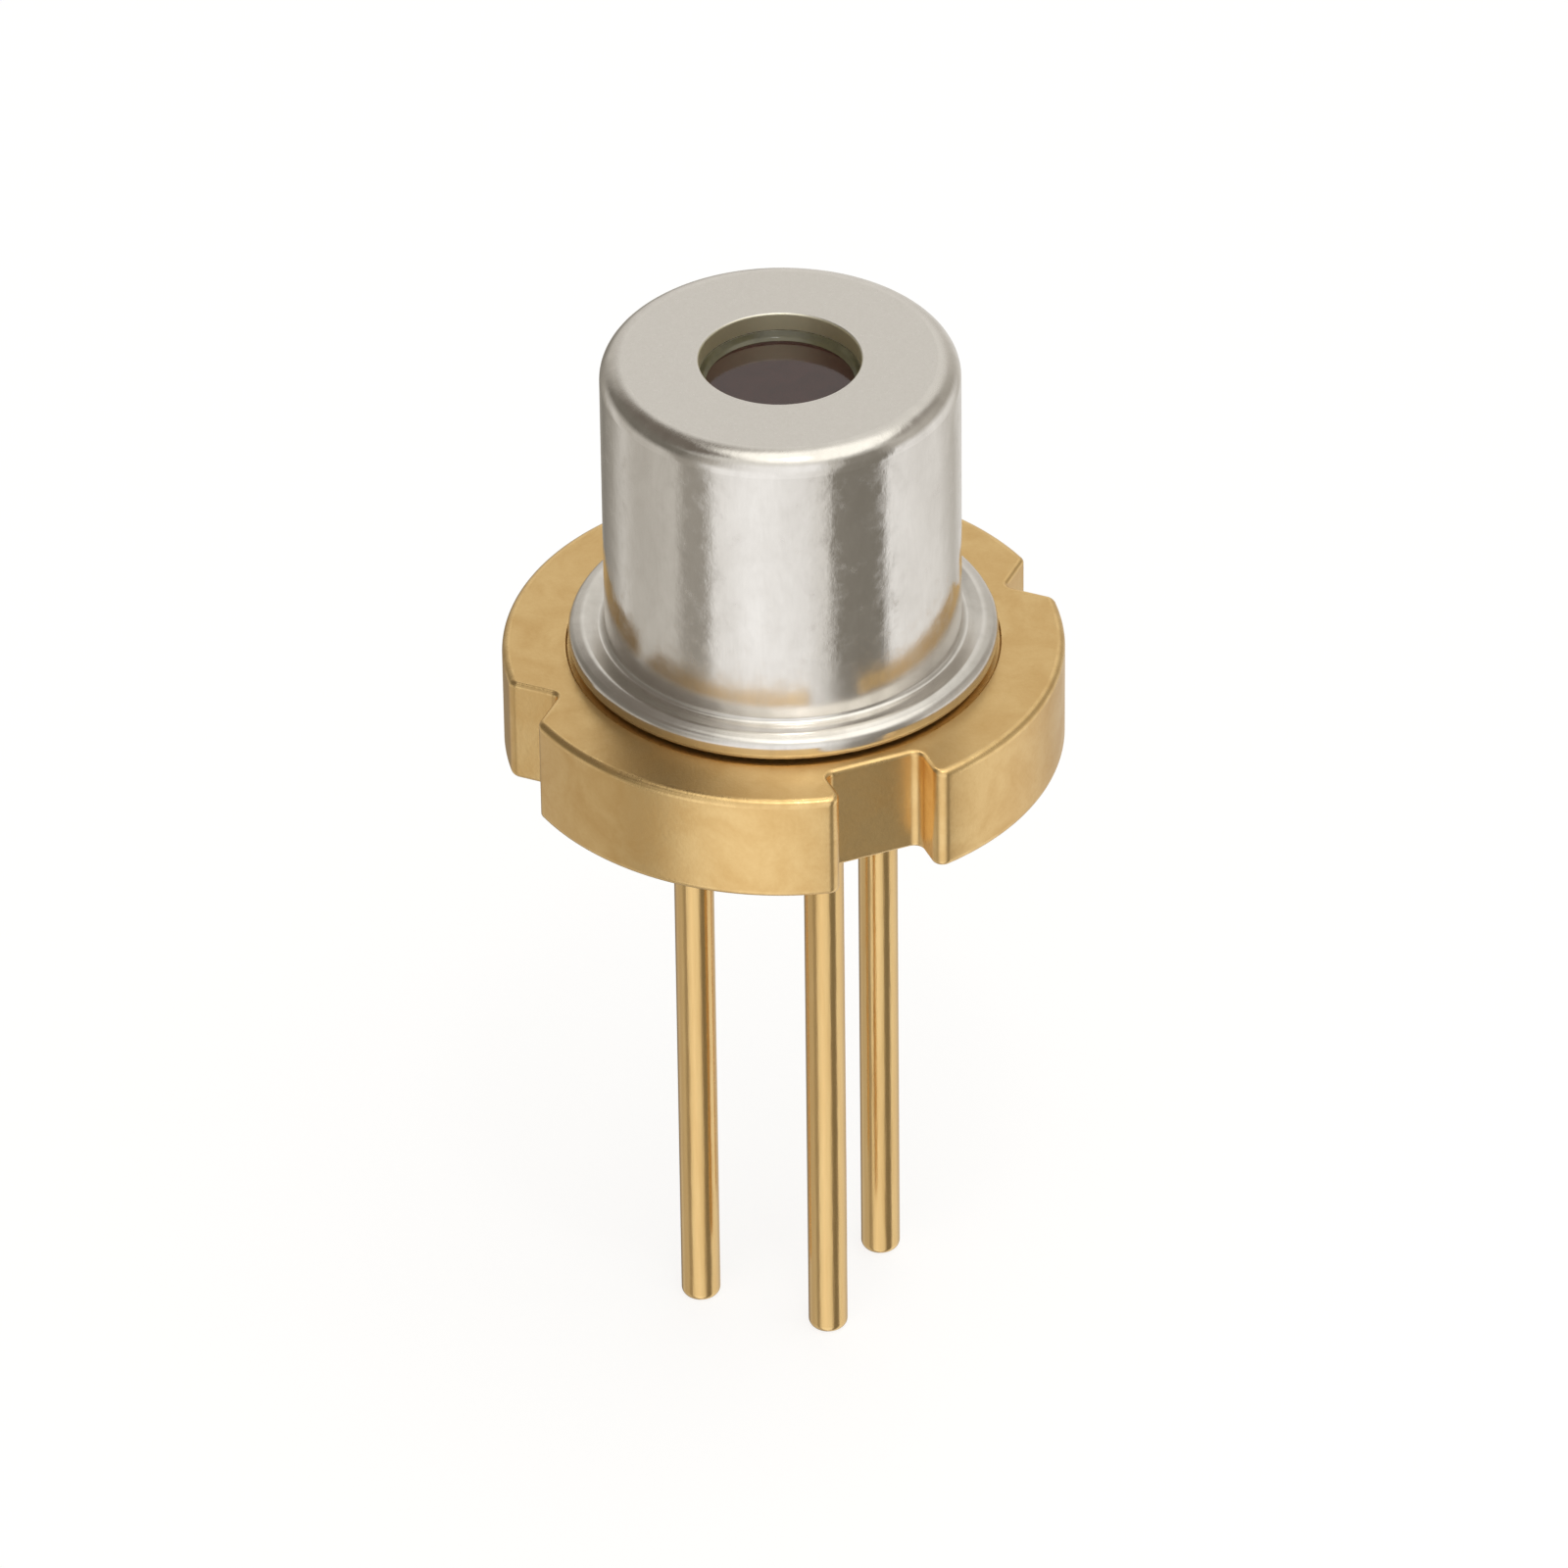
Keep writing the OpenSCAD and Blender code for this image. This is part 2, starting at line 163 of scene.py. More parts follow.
class CapSizes(bpy.types.PropertyGroup):
    """Sizes of the drawn cap."""

    radius: length("Radius", "Outer radius of the cap", 1.775 * MM)
    height: length("Height", "Height of the cap", CAP_HIGH.z)
    wall: length("Wall", "Thickness of the cap's side", 0.2 * MM)
    top: length("Top", "Thickness of the cap's top", 0.2 * MM)
    edge: length("Edge", "Outer rounding of the cap's top edge", 0.22 * MM)
    inner_edge: length("Inner edge", "Inner rounding under the top", 0.1 * MM)
    rim_reach: length("Rim reach", "How far the weld rim reaches beyond the side", 0.365 * MM)
    rim_height: length("Rim height", "Thickness of the weld rim", 0.28 * MM)
    rim_fillet: length("Rim fillet", "Fillet between the rim and the side", 0.06 * MM)
    mouth: length("Mouth", "Rounding at the cap's mouth", 0.12 * MM)
    aperture: length("Aperture", "Radius of the aperture", 0.8 * MM)
    aperture_edge: length("Aperture edge", "Rounding of the aperture's upper edge", 0.02 * MM)


class WindowSizes(bpy.types.PropertyGroup):
    """Sizes of the window and of its sealing glass."""

    radius: length("Radius", "Radius of the window", GLASS_HIGH.x)
    bottom: length("Bottom", "Height of the window's lower face", GLASS_LOW.z)
    top: length("Top", "Height of the window's upper face", GLASS_HIGH.z)
    chamfer: length("Chamfer", "Rounding of the window's edges", 0.02 * MM)
    frit_radius: length("Frit radius", "Outer radius of the sealing glass", FRIT_HIGH.x)
    frit_bottom: length("Frit bottom", "Lower end of the sealing glass's skirt", FRIT_LOW.z)
    frit_top: length("Frit top", "Upper face of the sealing glass", FRIT_HIGH.z)
    creep: length("Creep", "How far the sealing glass creeps over the window", 0.07 * MM)


class FinishColours(bpy.types.PropertyGroup):
    """Colours of the finishes."""

    gold: colour("Gold", "Gold plating", (0.88, 0.62, 0.285))
    deep_gold: colour("Deep gold", "Gold plating where it is thin", (0.70, 0.42, 0.145))
    nickel: colour("Nickel", "Nickel plating", (0.82, 0.79, 0.75))
    dull_nickel: colour("Dull nickel", "Nickel plating where it is dull", (0.60, 0.565, 0.52))
    # Painted shade: the window's colour is far darker than clear glass. It stands for the shaded inside of
    # the can seen through it, with the coating's tint.
    window: colour("Window", "Dark coating and painted shade of the window", (0.082, 0.026, 0.022))
    frit: colour("Frit", "Glass that seals the window", (0.17, 0.155, 0.085))
    seal: colour("Seal", "Glass that insulates a lead", (0.022, 0.028, 0.04))
    braze: colour("Braze", "Silver braze", (0.66, 0.63, 0.55))
    copper: colour("Copper", "Gold-flashed copper", (0.80, 0.52, 0.28))
    ceramic: colour("Ceramic", "White ceramic", (0.72, 0.71, 0.66))
    solder: colour("Solder", "Dull solder", (0.42, 0.40, 0.36))
    crystal: colour("Crystal", "Polished laser crystal", (0.05, 0.055, 0.08))
    silicon: colour("Silicon", "Polished silicon", (0.03, 0.04, 0.10))


# ---------------------------------------------------------------- node helpers


def put(tree, kind, inputs=None, **settings):
    """A new node with its settings and its inputs, each a plain value or a socket to link."""
    node = tree.nodes.new(kind)
    for name, value in settings.items():
        setattr(node, name, value)
    for key, value in (inputs or {}).items():
        if isinstance(value, bpy.types.NodeSocket):
            tree.links.new(value, node.inputs[key])
        else:
            node.inputs[key].default_value = value
    return node


def maths(tree, operation, *values):
    """The output of a Math node."""
    return put(tree, "ShaderNodeMath", dict(enumerate(values)), operation=operation).outputs[0]


def vectors(tree, operation, *values, output=0):
    """An output of a Vector Math node."""
    numbers = dict(enumerate(values))
    if operation == "SCALE":
        numbers = {0: values[0], 3: values[1]}
    return put(tree, "ShaderNodeVectorMath", numbers, operation=operation).outputs[output]


def spread(tree, value, low, high, new_low, new_high):
    """The output of a Map Range node."""
    numbers = {0: value, 1: low, 2: high, 3: new_low, 4: new_high}
    return put(tree, "ShaderNodeMapRange", numbers).outputs[0]


def blend(tree, share, first, second):
    """The output of a colour Mix node."""
    return put(tree, "ShaderNodeMix", {0: share, 6: first, 7: second}, data_type="RGBA").outputs[2]


def rgba(triple):
    """A colour with full alpha."""
    return (*triple, 1.0)


def group_sockets(tree, inputs, outputs):
    """Gives a node group its named inputs and outputs."""
    for name, kind, default in inputs:
        made = tree.interface.new_socket(name=name, in_out="INPUT", socket_type=kind)
        if default is not None:
            made.default_value = default
    for name, kind in outputs:
        tree.interface.new_socket(name=name, in_out="OUTPUT", socket_type=kind)


# ---------------------------------------------------------------- turned pieces


class Size:
    """A size inside a node tree. Sums and products of sizes add the Math nodes that work them out."""

    def __init__(self, tree, socket):
        self.tree = tree
        self.socket = socket

    def combine(self, operation, first, second):
        """The Math node that joins two sizes or plain numbers."""
        values = [v.socket if isinstance(v, Size) else v for v in (first, second)]
        return Size(self.tree, maths(self.tree, operation, *values))

    def __add__(self, other):
        return self.combine("ADD", self, other)

    def __sub__(self, other):
        return self.combine("SUBTRACT", self, other)

    def __rsub__(self, other):
        return self.combine("SUBTRACT", other, self)

    def __mul__(self, other):
        return self.combine("MULTIPLY", self, other)


def as_input(value):
    """A size's socket, or the plain number itself."""
    return value.socket if isinstance(value, Size) else value


def choice(tree, kind, index, values):
    """An Index Switch that gives the value with that number."""
    node = put(tree, "GeometryNodeIndexSwitch", data_type=kind)
    while len(node.index_switch_items) < len(values):
        node.index_switch_items.new()
    tree.links.new(index, node.inputs[0])
    for number, value in enumerate(values):
        if isinstance(value, bpy.types.NodeSocket):
            tree.links.new(value, node.inputs[number + 1])
        else:
            node.inputs[number + 1].default_value = value
    return node.outputs[0]


def profile_curve(tree, corners, closed, hold, arc_points):
    """A rounded outline. Each corner gets a holding point on either side, so that flats stay flat."""
    count = len(corners)
    number = put(tree, "GeometryNodeInputIndex").outputs[0]
    places = []
    for x, z, _ in corners:
        places.append(put(tree, "ShaderNodeCombineXYZ", {0: as_input(x), 1: as_input(z)}).outputs[0])
    place = choice(tree, "VECTOR", number, places)
    sharp = put(tree, "GeometryNodePoints", {"Count": count, "Position": place}).outputs[0]
    rounding = choice(tree, "FLOAT", number, [as_input(r) for _, _, r in corners])
    corner = maths(tree, "FLOOR", maths(tree, "DIVIDE", number, 3.0))
    role = maths(tree, "SUBTRACT", number, maths(tree, "MULTIPLY", corner, 3.0))
    near = maths(tree, "SUBTRACT", maths(tree, "ADD", corner, role), 1.0)
    if closed:
        near = maths(tree, "FLOORED_MODULO", near, float(count))
    else:
        near = maths(tree, "MINIMUM", maths(tree, "MAXIMUM", near, 0.0), count - 1.0)
    position = put(tree, "GeometryNodeInputPosition").outputs[0]

    def sample(kind, value, index):
        """A value at the corner with that index."""
        numbers = {"Geometry": sharp, "Value": value, "Index": index}
        return put(tree, "GeometryNodeSampleIndex", numbers, data_type=kind, domain="POINT").outputs[0]

    here = sample("FLOAT_VECTOR", position, corner)
    there = sample("FLOAT_VECTOR", position, near)
    radius = sample("FLOAT", rounding, corner)
    away = vectors(tree, "SUBTRACT", there, here)
    span = vectors(tree, "LENGTH", away, output=1)
    reach = maths(tree, "MINIMUM", maths(tree, "ADD", radius, hold), maths(tree, "MULTIPLY", span, 0.5))
    way = vectors(tree, "NORMALIZE", away)
    step = vectors(tree, "SCALE", way, reach)
    place = vectors(tree, "ADD", here, step)
    points = put(tree, "GeometryNodePoints", {"Count": 3 * count, "Position": place}).outputs[0]
    middle = maths(tree, "COMPARE", role, 1.0, 0.1)
    bend = maths(tree, "MULTIPLY", radius, middle)
    for name, value in (("bend", bend), ("edge", middle)):
        labelled = {"Geometry": points, "Name": name, "Value": value}
        points = put(tree, "GeometryNodeStoreNamedAttribute", labelled, data_type="FLOAT").outputs[0]
    curve = put(tree, "GeometryNodePointsToCurves", {0: points}).outputs[0]
    curve = put(tree, "GeometryNodeSetSplineCyclic", {"Geometry": curve, "Cyclic": closed}).outputs[0]
    stored = put(tree, "GeometryNodeInputNamedAttribute", {"Name": "bend"}, data_type="FLOAT").outputs[0]
    rounded = {"Curve": curve, "Count": arc_points, "Radius": stored, "Limit Radius": True}
    return put(tree, "GeometryNodeFilletCurve", rounded, mode="POLY").outputs[0]


def hand_over(tree, geometry, finish):
    """Ends a tree that works in millimetres: its piece in metres, smooth, real and in its finish."""
    piece = put(tree, "GeometryNodeTransform", {"Geometry": geometry, "Scale": (MM, MM, MM)}).outputs[0]
    for kind in ("GeometryNodeSetShadeSmooth", "GeometryNodeRealizeInstances"):
        piece = put(tree, kind, {"Geometry": piece}).outputs[0]
    painted = put(tree, "GeometryNodeSetMaterial", {"Geometry": piece, "Material": finish}).outputs[0]
    put(tree, "NodeGroupOutput", {0: painted})
    return tree


def turned_tree(name, sizes, corners, closed):
    """A tree that turns a rounded outline about an upright axis."""
    tree = bpy.data.node_groups.new(name, "GeometryNodeTree")
    numbers = [(size, "NodeSocketFloat", 0.0) for size in sizes]
    numbers += [("Hold", "NodeSocketFloat", HOLD), ("Rounding points", "NodeSocketInt", 8)]
    numbers += [("Steps around", "NodeSocketInt", 288), ("Place", "NodeSocketVector", None)]
    group_sockets(tree, numbers + [("Finish", "NodeSocketMaterial", None)], [("Piece", "NodeSocketGeometry")])
    source = put(tree, "NodeGroupInput").outputs
    outline = corners(*[Size(tree, source[size]) for size in sizes])
    profile = profile_curve(tree, outline, closed, source["Hold"], source["Rounding points"])
    upright = {"Geometry": profile, "Translation": (-CORE, 0.0, 0.0), "Scale": (1.0, -1.0, 1.0)}
    profile = put(tree, "GeometryNodeTransform", upright).outputs[0]
    around = {"Resolution": source["Steps around"], "Radius": CORE}
    circle = put(tree, "GeometryNodeCurvePrimitiveCircle", around).outputs[0]
    turned = put(tree, "GeometryNodeCurveToMesh", {"Curve": circle, "Profile Curve": profile}).outputs[0]
    merged = put(tree, "GeometryNodeMergeByDistance", {"Geometry": turned, "Distance": DOUBLE}).outputs[0]
    placed = {"Geometry": merged, "Translation": source["Place"]}
    return hand_over(tree, put(tree, "GeometryNodeTransform", placed).outputs[0], source["Finish"])


def grow(name, tree, values, finish):
    """Runs a tree once and keeps what it makes as a plain closed mesh."""
    made = bpy.data.objects.new(name, bpy.data.meshes.new(name))
    bpy.context.scene.collection.objects.link(made)
    modifier = made.modifiers.new("Build", "NODES")
    modifier.node_group = tree
    sockets = {item.name: item for item in tree.interface.items_tree if item.in_out == "INPUT"}
    for label, value in {**values, "Finish": finish}.items():
        modifier[sockets[label].identifier] = value
    bpy.context.view_layer.update()
    depsgraph = bpy.context.evaluated_depsgraph_get()
    mesh = bpy.data.meshes.new_from_object(made.evaluated_get(depsgraph), depsgraph=depsgraph)
    made.modifiers.remove(modifier)
    empty = made.data
    made.data = mesh
    bpy.data.meshes.remove(empty)
    mesh.name = name
    closed_mesh(mesh)
    return made


def closed_mesh(mesh):
    """Merges doubles, removes strays and turns every face outwards."""
    work = bmesh.new()
    work.from_mesh(mesh)
    bmesh.ops.remove_doubles(work, verts=work.verts, dist=1e-8)
    loose = [edge for edge in work.edges if not edge.link_faces]
    bmesh.ops.delete(work, geom=loose, context="EDGES")
    stray = [vertex for vertex in work.verts if not vertex.link_faces]
    bmesh.ops.delete(work, geom=stray, context="VERTS")
    bmesh.ops.recalc_face_normals(work, faces=work.faces)
    for face in work.faces:
        face.smooth = True
    open_edges = sum(1 for edge in work.edges if len(edge.link_faces) != 2)
    work.to_mesh(mesh)
    work.free()
    if open_edges:
        raise RuntimeError(f"{mesh.name} has {open_edges} open edges")


def settle(made, nodes):
    """Rides the finished piece on the one body, in place of its CAD nodes."""
    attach(made, "root")
    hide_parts(*nodes)
    return made


# ---------------------------------------------------------------- stem outline


def arc(centre, radius, start, end, steps, out):
    """Points on an arc, each with the direction that leads out of the metal."""
    points = []
    for number in range(steps + 1):
        angle = math.radians(start + (end - start) * number / steps)
        way = Vector((math.cos(angle), math.sin(angle)))
        points.append((centre + radius * way, out * way))
    return points


def bearing(way):
    """Direction of a plane vector in degrees."""
    return math.degrees(math.atan2(way.y, way.x))


def rim_corner(root, way, metal, radius, rounding):
    """Rounded corner between the rim and the wall that runs out through root along way."""
    start = root + rounding * metal
    along = start.dot(way)
    run = math.sqrt(along * along + (radius - rounding) ** 2 - start.length_squared) - along
    centre = start + run * way
    return arc(centre, rounding, bearing(-metal), bearing(centre), CORNER_STEPS, 1)


def notch_walls(side):
    """A notch's lower half, which mirrors its upper half, then that upper half."""
    lower = [(Vector((p.x, -p.y)), Vector((n.x, -n.y))) for p, n in reversed(side)]
    return lower[:-1] + side


def held(first, second):
    """Two points on the straight wall between two arcs, close to its ends."""
    start, out = first
    end = second[0]
    way = (end - start).normalized()
    span = (end - start).length
    return [(start + way * step, out) for step in (HOLD, span * 0.35, span * 0.65, span - HOLD)]


def v_notch(sizes):
    """Outline of a V-notch that opens along +X, from its lower to its upper side."""
    root = sizes["radius"] - sizes["v_depth"]
    way = Vector((math.cos(math.pi / 4), math.sin(math.pi / 4)))
    metal = Vector((-way.y, way.x))
    centre = Vector((root + sizes["v_root"] * math.sqrt(2), 0.0))
    bottom = arc(centre, sizes["v_root"], 180.0, 135.0, 8, -1)
    corner = rim_corner(Vector((root, 0.0)), way, metal, sizes["radius"], sizes["rim_corner"])
    return notch_walls(bottom + held(bottom[-1], corner[0]) + corner)


def key_notch(sizes):
    """Outline of the index notch, opening along +X."""
    back = sizes["radius"] - sizes["key_depth"]
    half = sizes["key_width"] / 2
    centre = Vector((back + sizes["key_root"], half - sizes["key_root"]))
    bottom = arc(centre, sizes["key_root"], 180.0, 90.0, 10, -1)
    middle = (Vector((back, 0.0)), Vector((1.0, 0.0)))
    floor = [middle] + held(middle, bottom[0])
    way, metal = Vector((1.0, 0.0)), Vector((0.0, 1.0))
    corner = rim_corner(Vector((back, half)), way, metal, sizes["radius"], sizes["rim_corner"])
    return notch_walls(floor + bottom + held(bottom[-1], corner[0]) + corner)


def stem_outline(sizes):
    """The stem seen from above: its points, the ways out of the metal and each point's edge rounding."""
    outline = []
    key, v = key_notch(sizes), v_notch(sizes)
    notches = [(-90.0, key), (0.0, v), (180.0, v), (270.0, key)]
    for (turn, walls), (next_turn, next_walls) in zip(notches, notches[1:]):
        spin = Matrix.Rotation(math.radians(turn), 2)
        for number, (place, out) in enumerate(walls):
            inside = min(number, len(walls) - 1 - number)
            share = min(1.0, inside / CORNER_STEPS)
            rounding = sizes["edge"] + (sizes["notch_edge"] - sizes["edge"]) * share
            outline.append((spin @ place, spin @ out, rounding))
        start = turn + bearing(walls[-1][0])
        end = next_turn + bearing(next_walls[0][0])
        steps = max(2, int((end - start) / RIM_STEP))
        for number in range(1, steps):
            angle = math.radians(start + (end - start) * number / steps)
            way = Vector((math.cos(angle), math.sin(angle)))
            outline.append((sizes["radius"] * way, way, sizes["edge"]))
    return outline


def rounded_path(corners, steps=4):
    """Plain outline with rounded corners and holding points. Corners are (radius, height, rounding)."""
    path = []
    for number, (x, z, rounding) in enumerate(corners):
        here = Vector((x, z))
        if number in (0, len(corners) - 1) or not rounding:
            path.append((here, 0.0))
            continue
        before = Vector(corners[number - 1][:2]) - here
        after = Vector(corners[number + 1][:2]) - here
        a, b = before.normalized(), after.normalized()
        turn = a.angle(b)
        back = rounding / math.tan(turn / 2)
        centre = here + (a + b).normalized() * (rounding / math.sin(turn / 2))
        if before.length > back + 2 * HOLD:
            path.append((here + a * (back + HOLD), 0.0))
        start = here + a * back - centre
        end = here + b * back - centre
        sweep = start.angle_signed(end)
        for step in range(steps + 1):
            spin = Matrix.Rotation(-sweep * step / steps, 2)
            path.append((centre + spin @ start, 1.0))
        if after.length > back + 2 * HOLD:
            path.append((here + b * (back + HOLD), 0.0))
    return path


class Shell:
    """A mesh in the making, in millimetres, whose vertices remember how much of an edge they are."""

    def __init__(self):
        self.work = bmesh.new()
        self.edge = self.work.verts.layers.float.new("edge")

    def ring(self, points, edge=0.0):
        """A loop of vertices."""
        made = []
        for point in points:
            vertex = self.work.verts.new(point)
            vertex[self.edge] = edge
            made.append(vertex)
        return made

    def band(self, first, second):
        """Faces between two loops with as many vertices."""
        count = len(first)
        for number in range(count):
            after = (number + 1) % count
            self.work.faces.new((first[number], first[after], second[after], second[number]))

    def turned(self, centre, path, steps):
        """An outline turned about an upright axis, as joined loops. Gives the first and the last loop."""
        loops = []
        for place, edge in path:
            ring = []
            for number in range(steps):
                angle = 2 * math.pi * number / steps
                x = centre[0] + place.x * math.cos(angle)
                y = centre[1] + place.x * math.sin(angle)
                ring.append((x, y, place.y))
            loops.append(self.ring(ring, edge))
        for first, second in zip(loops, loops[1:]):
            self.band(first, second)
        return loops[0], loops[-1]

    def fill(self, *loops):
        """Flat faces between an outer loop and the loops of its holes."""
        self.work.verts.ensure_lookup_table()
        edges = []
        for loop in loops:
            for number, vertex in enumerate(loop):
                after = loop[(number + 1) % len(loop)]
                edge = self.work.edges.get((vertex, after)) or self.work.edges.new((vertex, after))
                edges.append(edge)
        bmesh.ops.triangle_fill(self.work, use_beauty=True, use_dissolve=False, edges=edges)

    def finish(self, name, material):
        """The finished object, in metres."""
        mesh = bpy.data.meshes.new(name)
        bmesh.ops.scale(self.work, vec=(MM, MM, MM), verts=self.work.verts)
        self.work.to_mesh(mesh)
        self.work.free()
        mesh.materials.append(material)
        closed_mesh(mesh)
        made = bpy.data.objects.new(name, mesh)
        bpy.context.scene.collection.objects.link(made)
        return made


def pocket_corners(side, height=None):
    """Corners of the photodiode's tilted pocket: on its floor, or at the given height."""
    floor = Vector((0.0, -POCKET_OFFSET, -POCKET_DEPTH))
    along = Vector((0.0, math.cos(DIODE_TILT), -math.sin(DIODE_TILT)))
    up = Vector((0.0, math.sin(DIODE_TILT), math.cos(DIODE_TILT)))
    corners = []
    for x, y in ((-1, -1), (1, -1), (1, 1), (-1, 1)):
        corner = floor + Vector((x * side, 0.0, 0.0)) + y * side * along
        if height is not None:
            corner += up * ((height - corner.z) / up.z)
        corners.append(corner)
    return corners


def sizes_of(group):
    """A property group's sizes in millimetres, by name."""
    names = [name for name in group.bl_rna.properties.keys() if name not in ("rna_type", "name")]
    return {name: getattr(group, name) * PER_MM for name in names}


def build_stem(sizes, leads, material):
    """The stem with its notches, its seat ring, its eyelets and the photodiode's pocket."""
    shell = Shell()
    outline = stem_outline(sizes)
    bottom = -sizes["thickness"]

    def inset(rounding, share):
        """A share of an edge's rounding, or a little more than all of it."""
        return rounding + HOLD if share > 1 else rounding * share

    def outline_ring(share, depth, edge, upper):
        """A loop around the stem: share is how far in from the rim it lies, depth how far from the face."""
        points = []
        for place, out, rounding in outline:
            at = place - out * inset(rounding, share)
            fall = inset(rounding, depth)
            points.append((at.x, at.y, -fall if upper else bottom + fall))
        return shell.ring(points, edge)

    past = 2.0
    quarter = [math.pi / 2 * number / EDGE_STEPS for number in range(EDGE_STEPS + 1)]
    upper = [outline_ring(past, 0.0, 0.0, True)]
    upper += [outline_ring(1 - math.sin(a), 1 - math.cos(a), 1.0, True) for a in quarter]
    upper += [outline_ring(0.0, past, 0.0, True)]
    lower = [outline_ring(0.0, past, 0.0, False)]
    lower += [outline_ring(1 - math.cos(a), 1 - math.sin(a), 1.0, False) for a in quarter]
    lower += [outline_ring(past, 0.0, 0.0, False)]
    loops = upper + lower
    for first, second in zip(loops, loops[1:]):
        shell.band(first, second)

    out, inside, depth = sizes["seat_out"], sizes["seat_in"], -sizes["seat_depth"]
    ring = [(out, 0.0, 0.012), (out, depth, 0.012), (inside, depth, 0.012), (inside, 0.0, 0.012)]
    seat = rounded_path([(out + 0.03, 0.0, 0.0), *ring, (inside - 0.03, 0.0, 0.0)])
    seat_out, seat_in = shell.turned((0.0, 0.0), seat, 288)
    shell.fill(upper[0], seat_out)

    eyelet = sizes["eyelet"]
    wall = [(eyelet, 0.0, 0.015), (eyelet, bottom, 0.015)]
    hole = rounded_path([(eyelet + 0.05, 0.0, 0.0), *wall, (eyelet + 0.05, bottom, 0.0)])
    tops = []
    bottoms = []
    for x in (-leads["circle"], leads["circle"]):
        top, low = shell.turned((x, 0.0), hole, 96)
        tops.append(top)
        bottoms.append(low)

    mouth = shell.ring(pocket_corners(POCKET_HALF, 0.0))
    floor = shell.ring(pocket_corners(POCKET_HALF))
    shell.band(mouth, floor)
    shell.work.faces.new(floor)
    shell.fill(seat_in, *tops, mouth)

    radius, top = leads["radius"], bottom + sizes["socket_depth"]
    wall = [(radius, bottom, 0.006), (radius, top, 0.006)]
    socket = rounded_path([(radius + 0.03, bottom, 0.0), *wall, (0.02, top, 0.0)])
    socket_out, socket_in = shell.turned((0.0, -leads["circle"]), socket, 64)
    shell.work.faces.new(socket_in)
    shell.fill(lower[-1], *bottoms, socket_out)
    return shell.finish("gold_stem", material)


# ---------------------------------------------------------------- finishes


def shader_group(name, inputs, outputs):
    """An empty shader group with its sockets, and its two ends."""
    tree = bpy.data.node_groups.new(name, "ShaderNodeTree")
    group_sockets(tree, inputs, outputs)
    return tree, put(tree, "NodeGroupInput").outputs, put(tree, "NodeGroupOutput").inputs


def grain_group():
    """Fine grain that can be drawn out along an axis, from 0 to 1."""
    tree, given, result = shader_group(
        "Drawn grain",
        [
            ("Stretch", "NodeSocketVector", (1.0, 1.0, 1.0)),
            ("Grains per metre", "NodeSocketFloat", 20000.0),
            ("Detail", "NodeSocketFloat", 3.0),
        ],
        [("Grain", "NodeSocketFloat")],
    )
    place = put(tree, "ShaderNodeTexCoord").outputs["Object"]
    drawn = vectors(tree, "MULTIPLY", place, given["Stretch"])
    numbers = {"Vector": drawn, "Scale": given["Grains per metre"], "Detail": given["Detail"]}
    noise = put(tree, "ShaderNodeTexNoise", {**numbers, "Roughness": 0.6}).outputs[0]
    tree.links.new(spread(tree, noise, 0.3, 0.7, 0.0, 1.0), result["Grain"])
    return tree


def cloud_group():
    """Soft clouds in plating: a mask from 0 to 1 and the colour that goes with it."""
    tree, given, result = shader_group(
        "Plating clouds",
        [
            ("Stretch", "NodeSocketVector", (1.0, 1.0, 1.0)),
            ("Clouds per metre", "NodeSocketFloat", 1600.0),
            ("Thick", "NodeSocketColor", (0.8, 0.8, 0.8, 1.0)),
            ("Thin", "NodeSocketColor", (0.5, 0.5, 0.5, 1.0)),
            ("Amount", "NodeSocketFloat", 0.5),
        ],
        [("Colour", "NodeSocketColor"), ("Mask", "NodeSocketFloat")],
    )
    place = put(tree, "ShaderNodeTexCoord").outputs["Object"]
    drawn = vectors(tree, "MULTIPLY", place, given["Stretch"])
    numbers = {"Vector": drawn, "Scale": given["Clouds per metre"], "Detail": 5.0, "Roughness": 0.62}
    noise = put(tree, "ShaderNodeTexNoise", {**numbers, "Distortion": 0.6}).outputs[0]
    mask = spread(tree, noise, 0.38, 0.68, 0.0, 1.0)
    share = maths(tree, "MULTIPLY", mask, given["Amount"])
    tree.links.new(blend(tree, share, given["Thick"], given["Thin"]), result["Colour"])
    tree.links.new(mask, result["Mask"])
    return tree


def wear_and_highlight_group():
    """Edges rubbed by handling and painted lighter as a highlight: 1 along an edge, broken up by grain."""
    tree, given, result = shader_group(
        "Rubbed edges and painted highlight",
        [("Breaks per metre", "NodeSocketFloat", 6000.0)],
        [("Mask", "NodeSocketFloat")],
    )
    edge = put(tree, "ShaderNodeAttribute", attribute_name="edge").outputs["Fac"]
    place = put(tree, "ShaderNodeTexCoord").outputs["Object"]
    numbers = {"Vector": place, "Scale": given["Breaks per metre"], "Detail": 4.0}
    noise = put(tree, "ShaderNodeTexNoise", numbers).outputs[0]
    broken = spread(tree, noise, 0.35, 0.6, 0.2, 1.0)
    tree.links.new(maths(tree, "MULTIPLY", edge, broken), result["Mask"])
    return tree


GROUPS = {}
EVEN = (1.0, 1.0, 1.0)
INSIDE_TONE = (0.94, 0.90, 0.66)


def shared(name):
    """One of the shader groups that the finishes share, made the first time it is asked for."""
    makers = {"grain": grain_group, "clouds": cloud_group, "edges": wear_and_highlight_group}
    if name not in GROUPS:
        GROUPS[name] = makers[name]()
    return GROUPS[name]


def use(tree, name, **inputs):
    """A shared group in a material."""
    node = tree.nodes.new("ShaderNodeGroup")
    node.node_tree = shared(name)
    for key, value in inputs.items():
        socket = node.inputs[key.replace("_", " ")]
        if isinstance(value, bpy.types.NodeSocket):
            tree.links.new(value, socket)
        else:
            socket.default_value = value
    return node.outputs


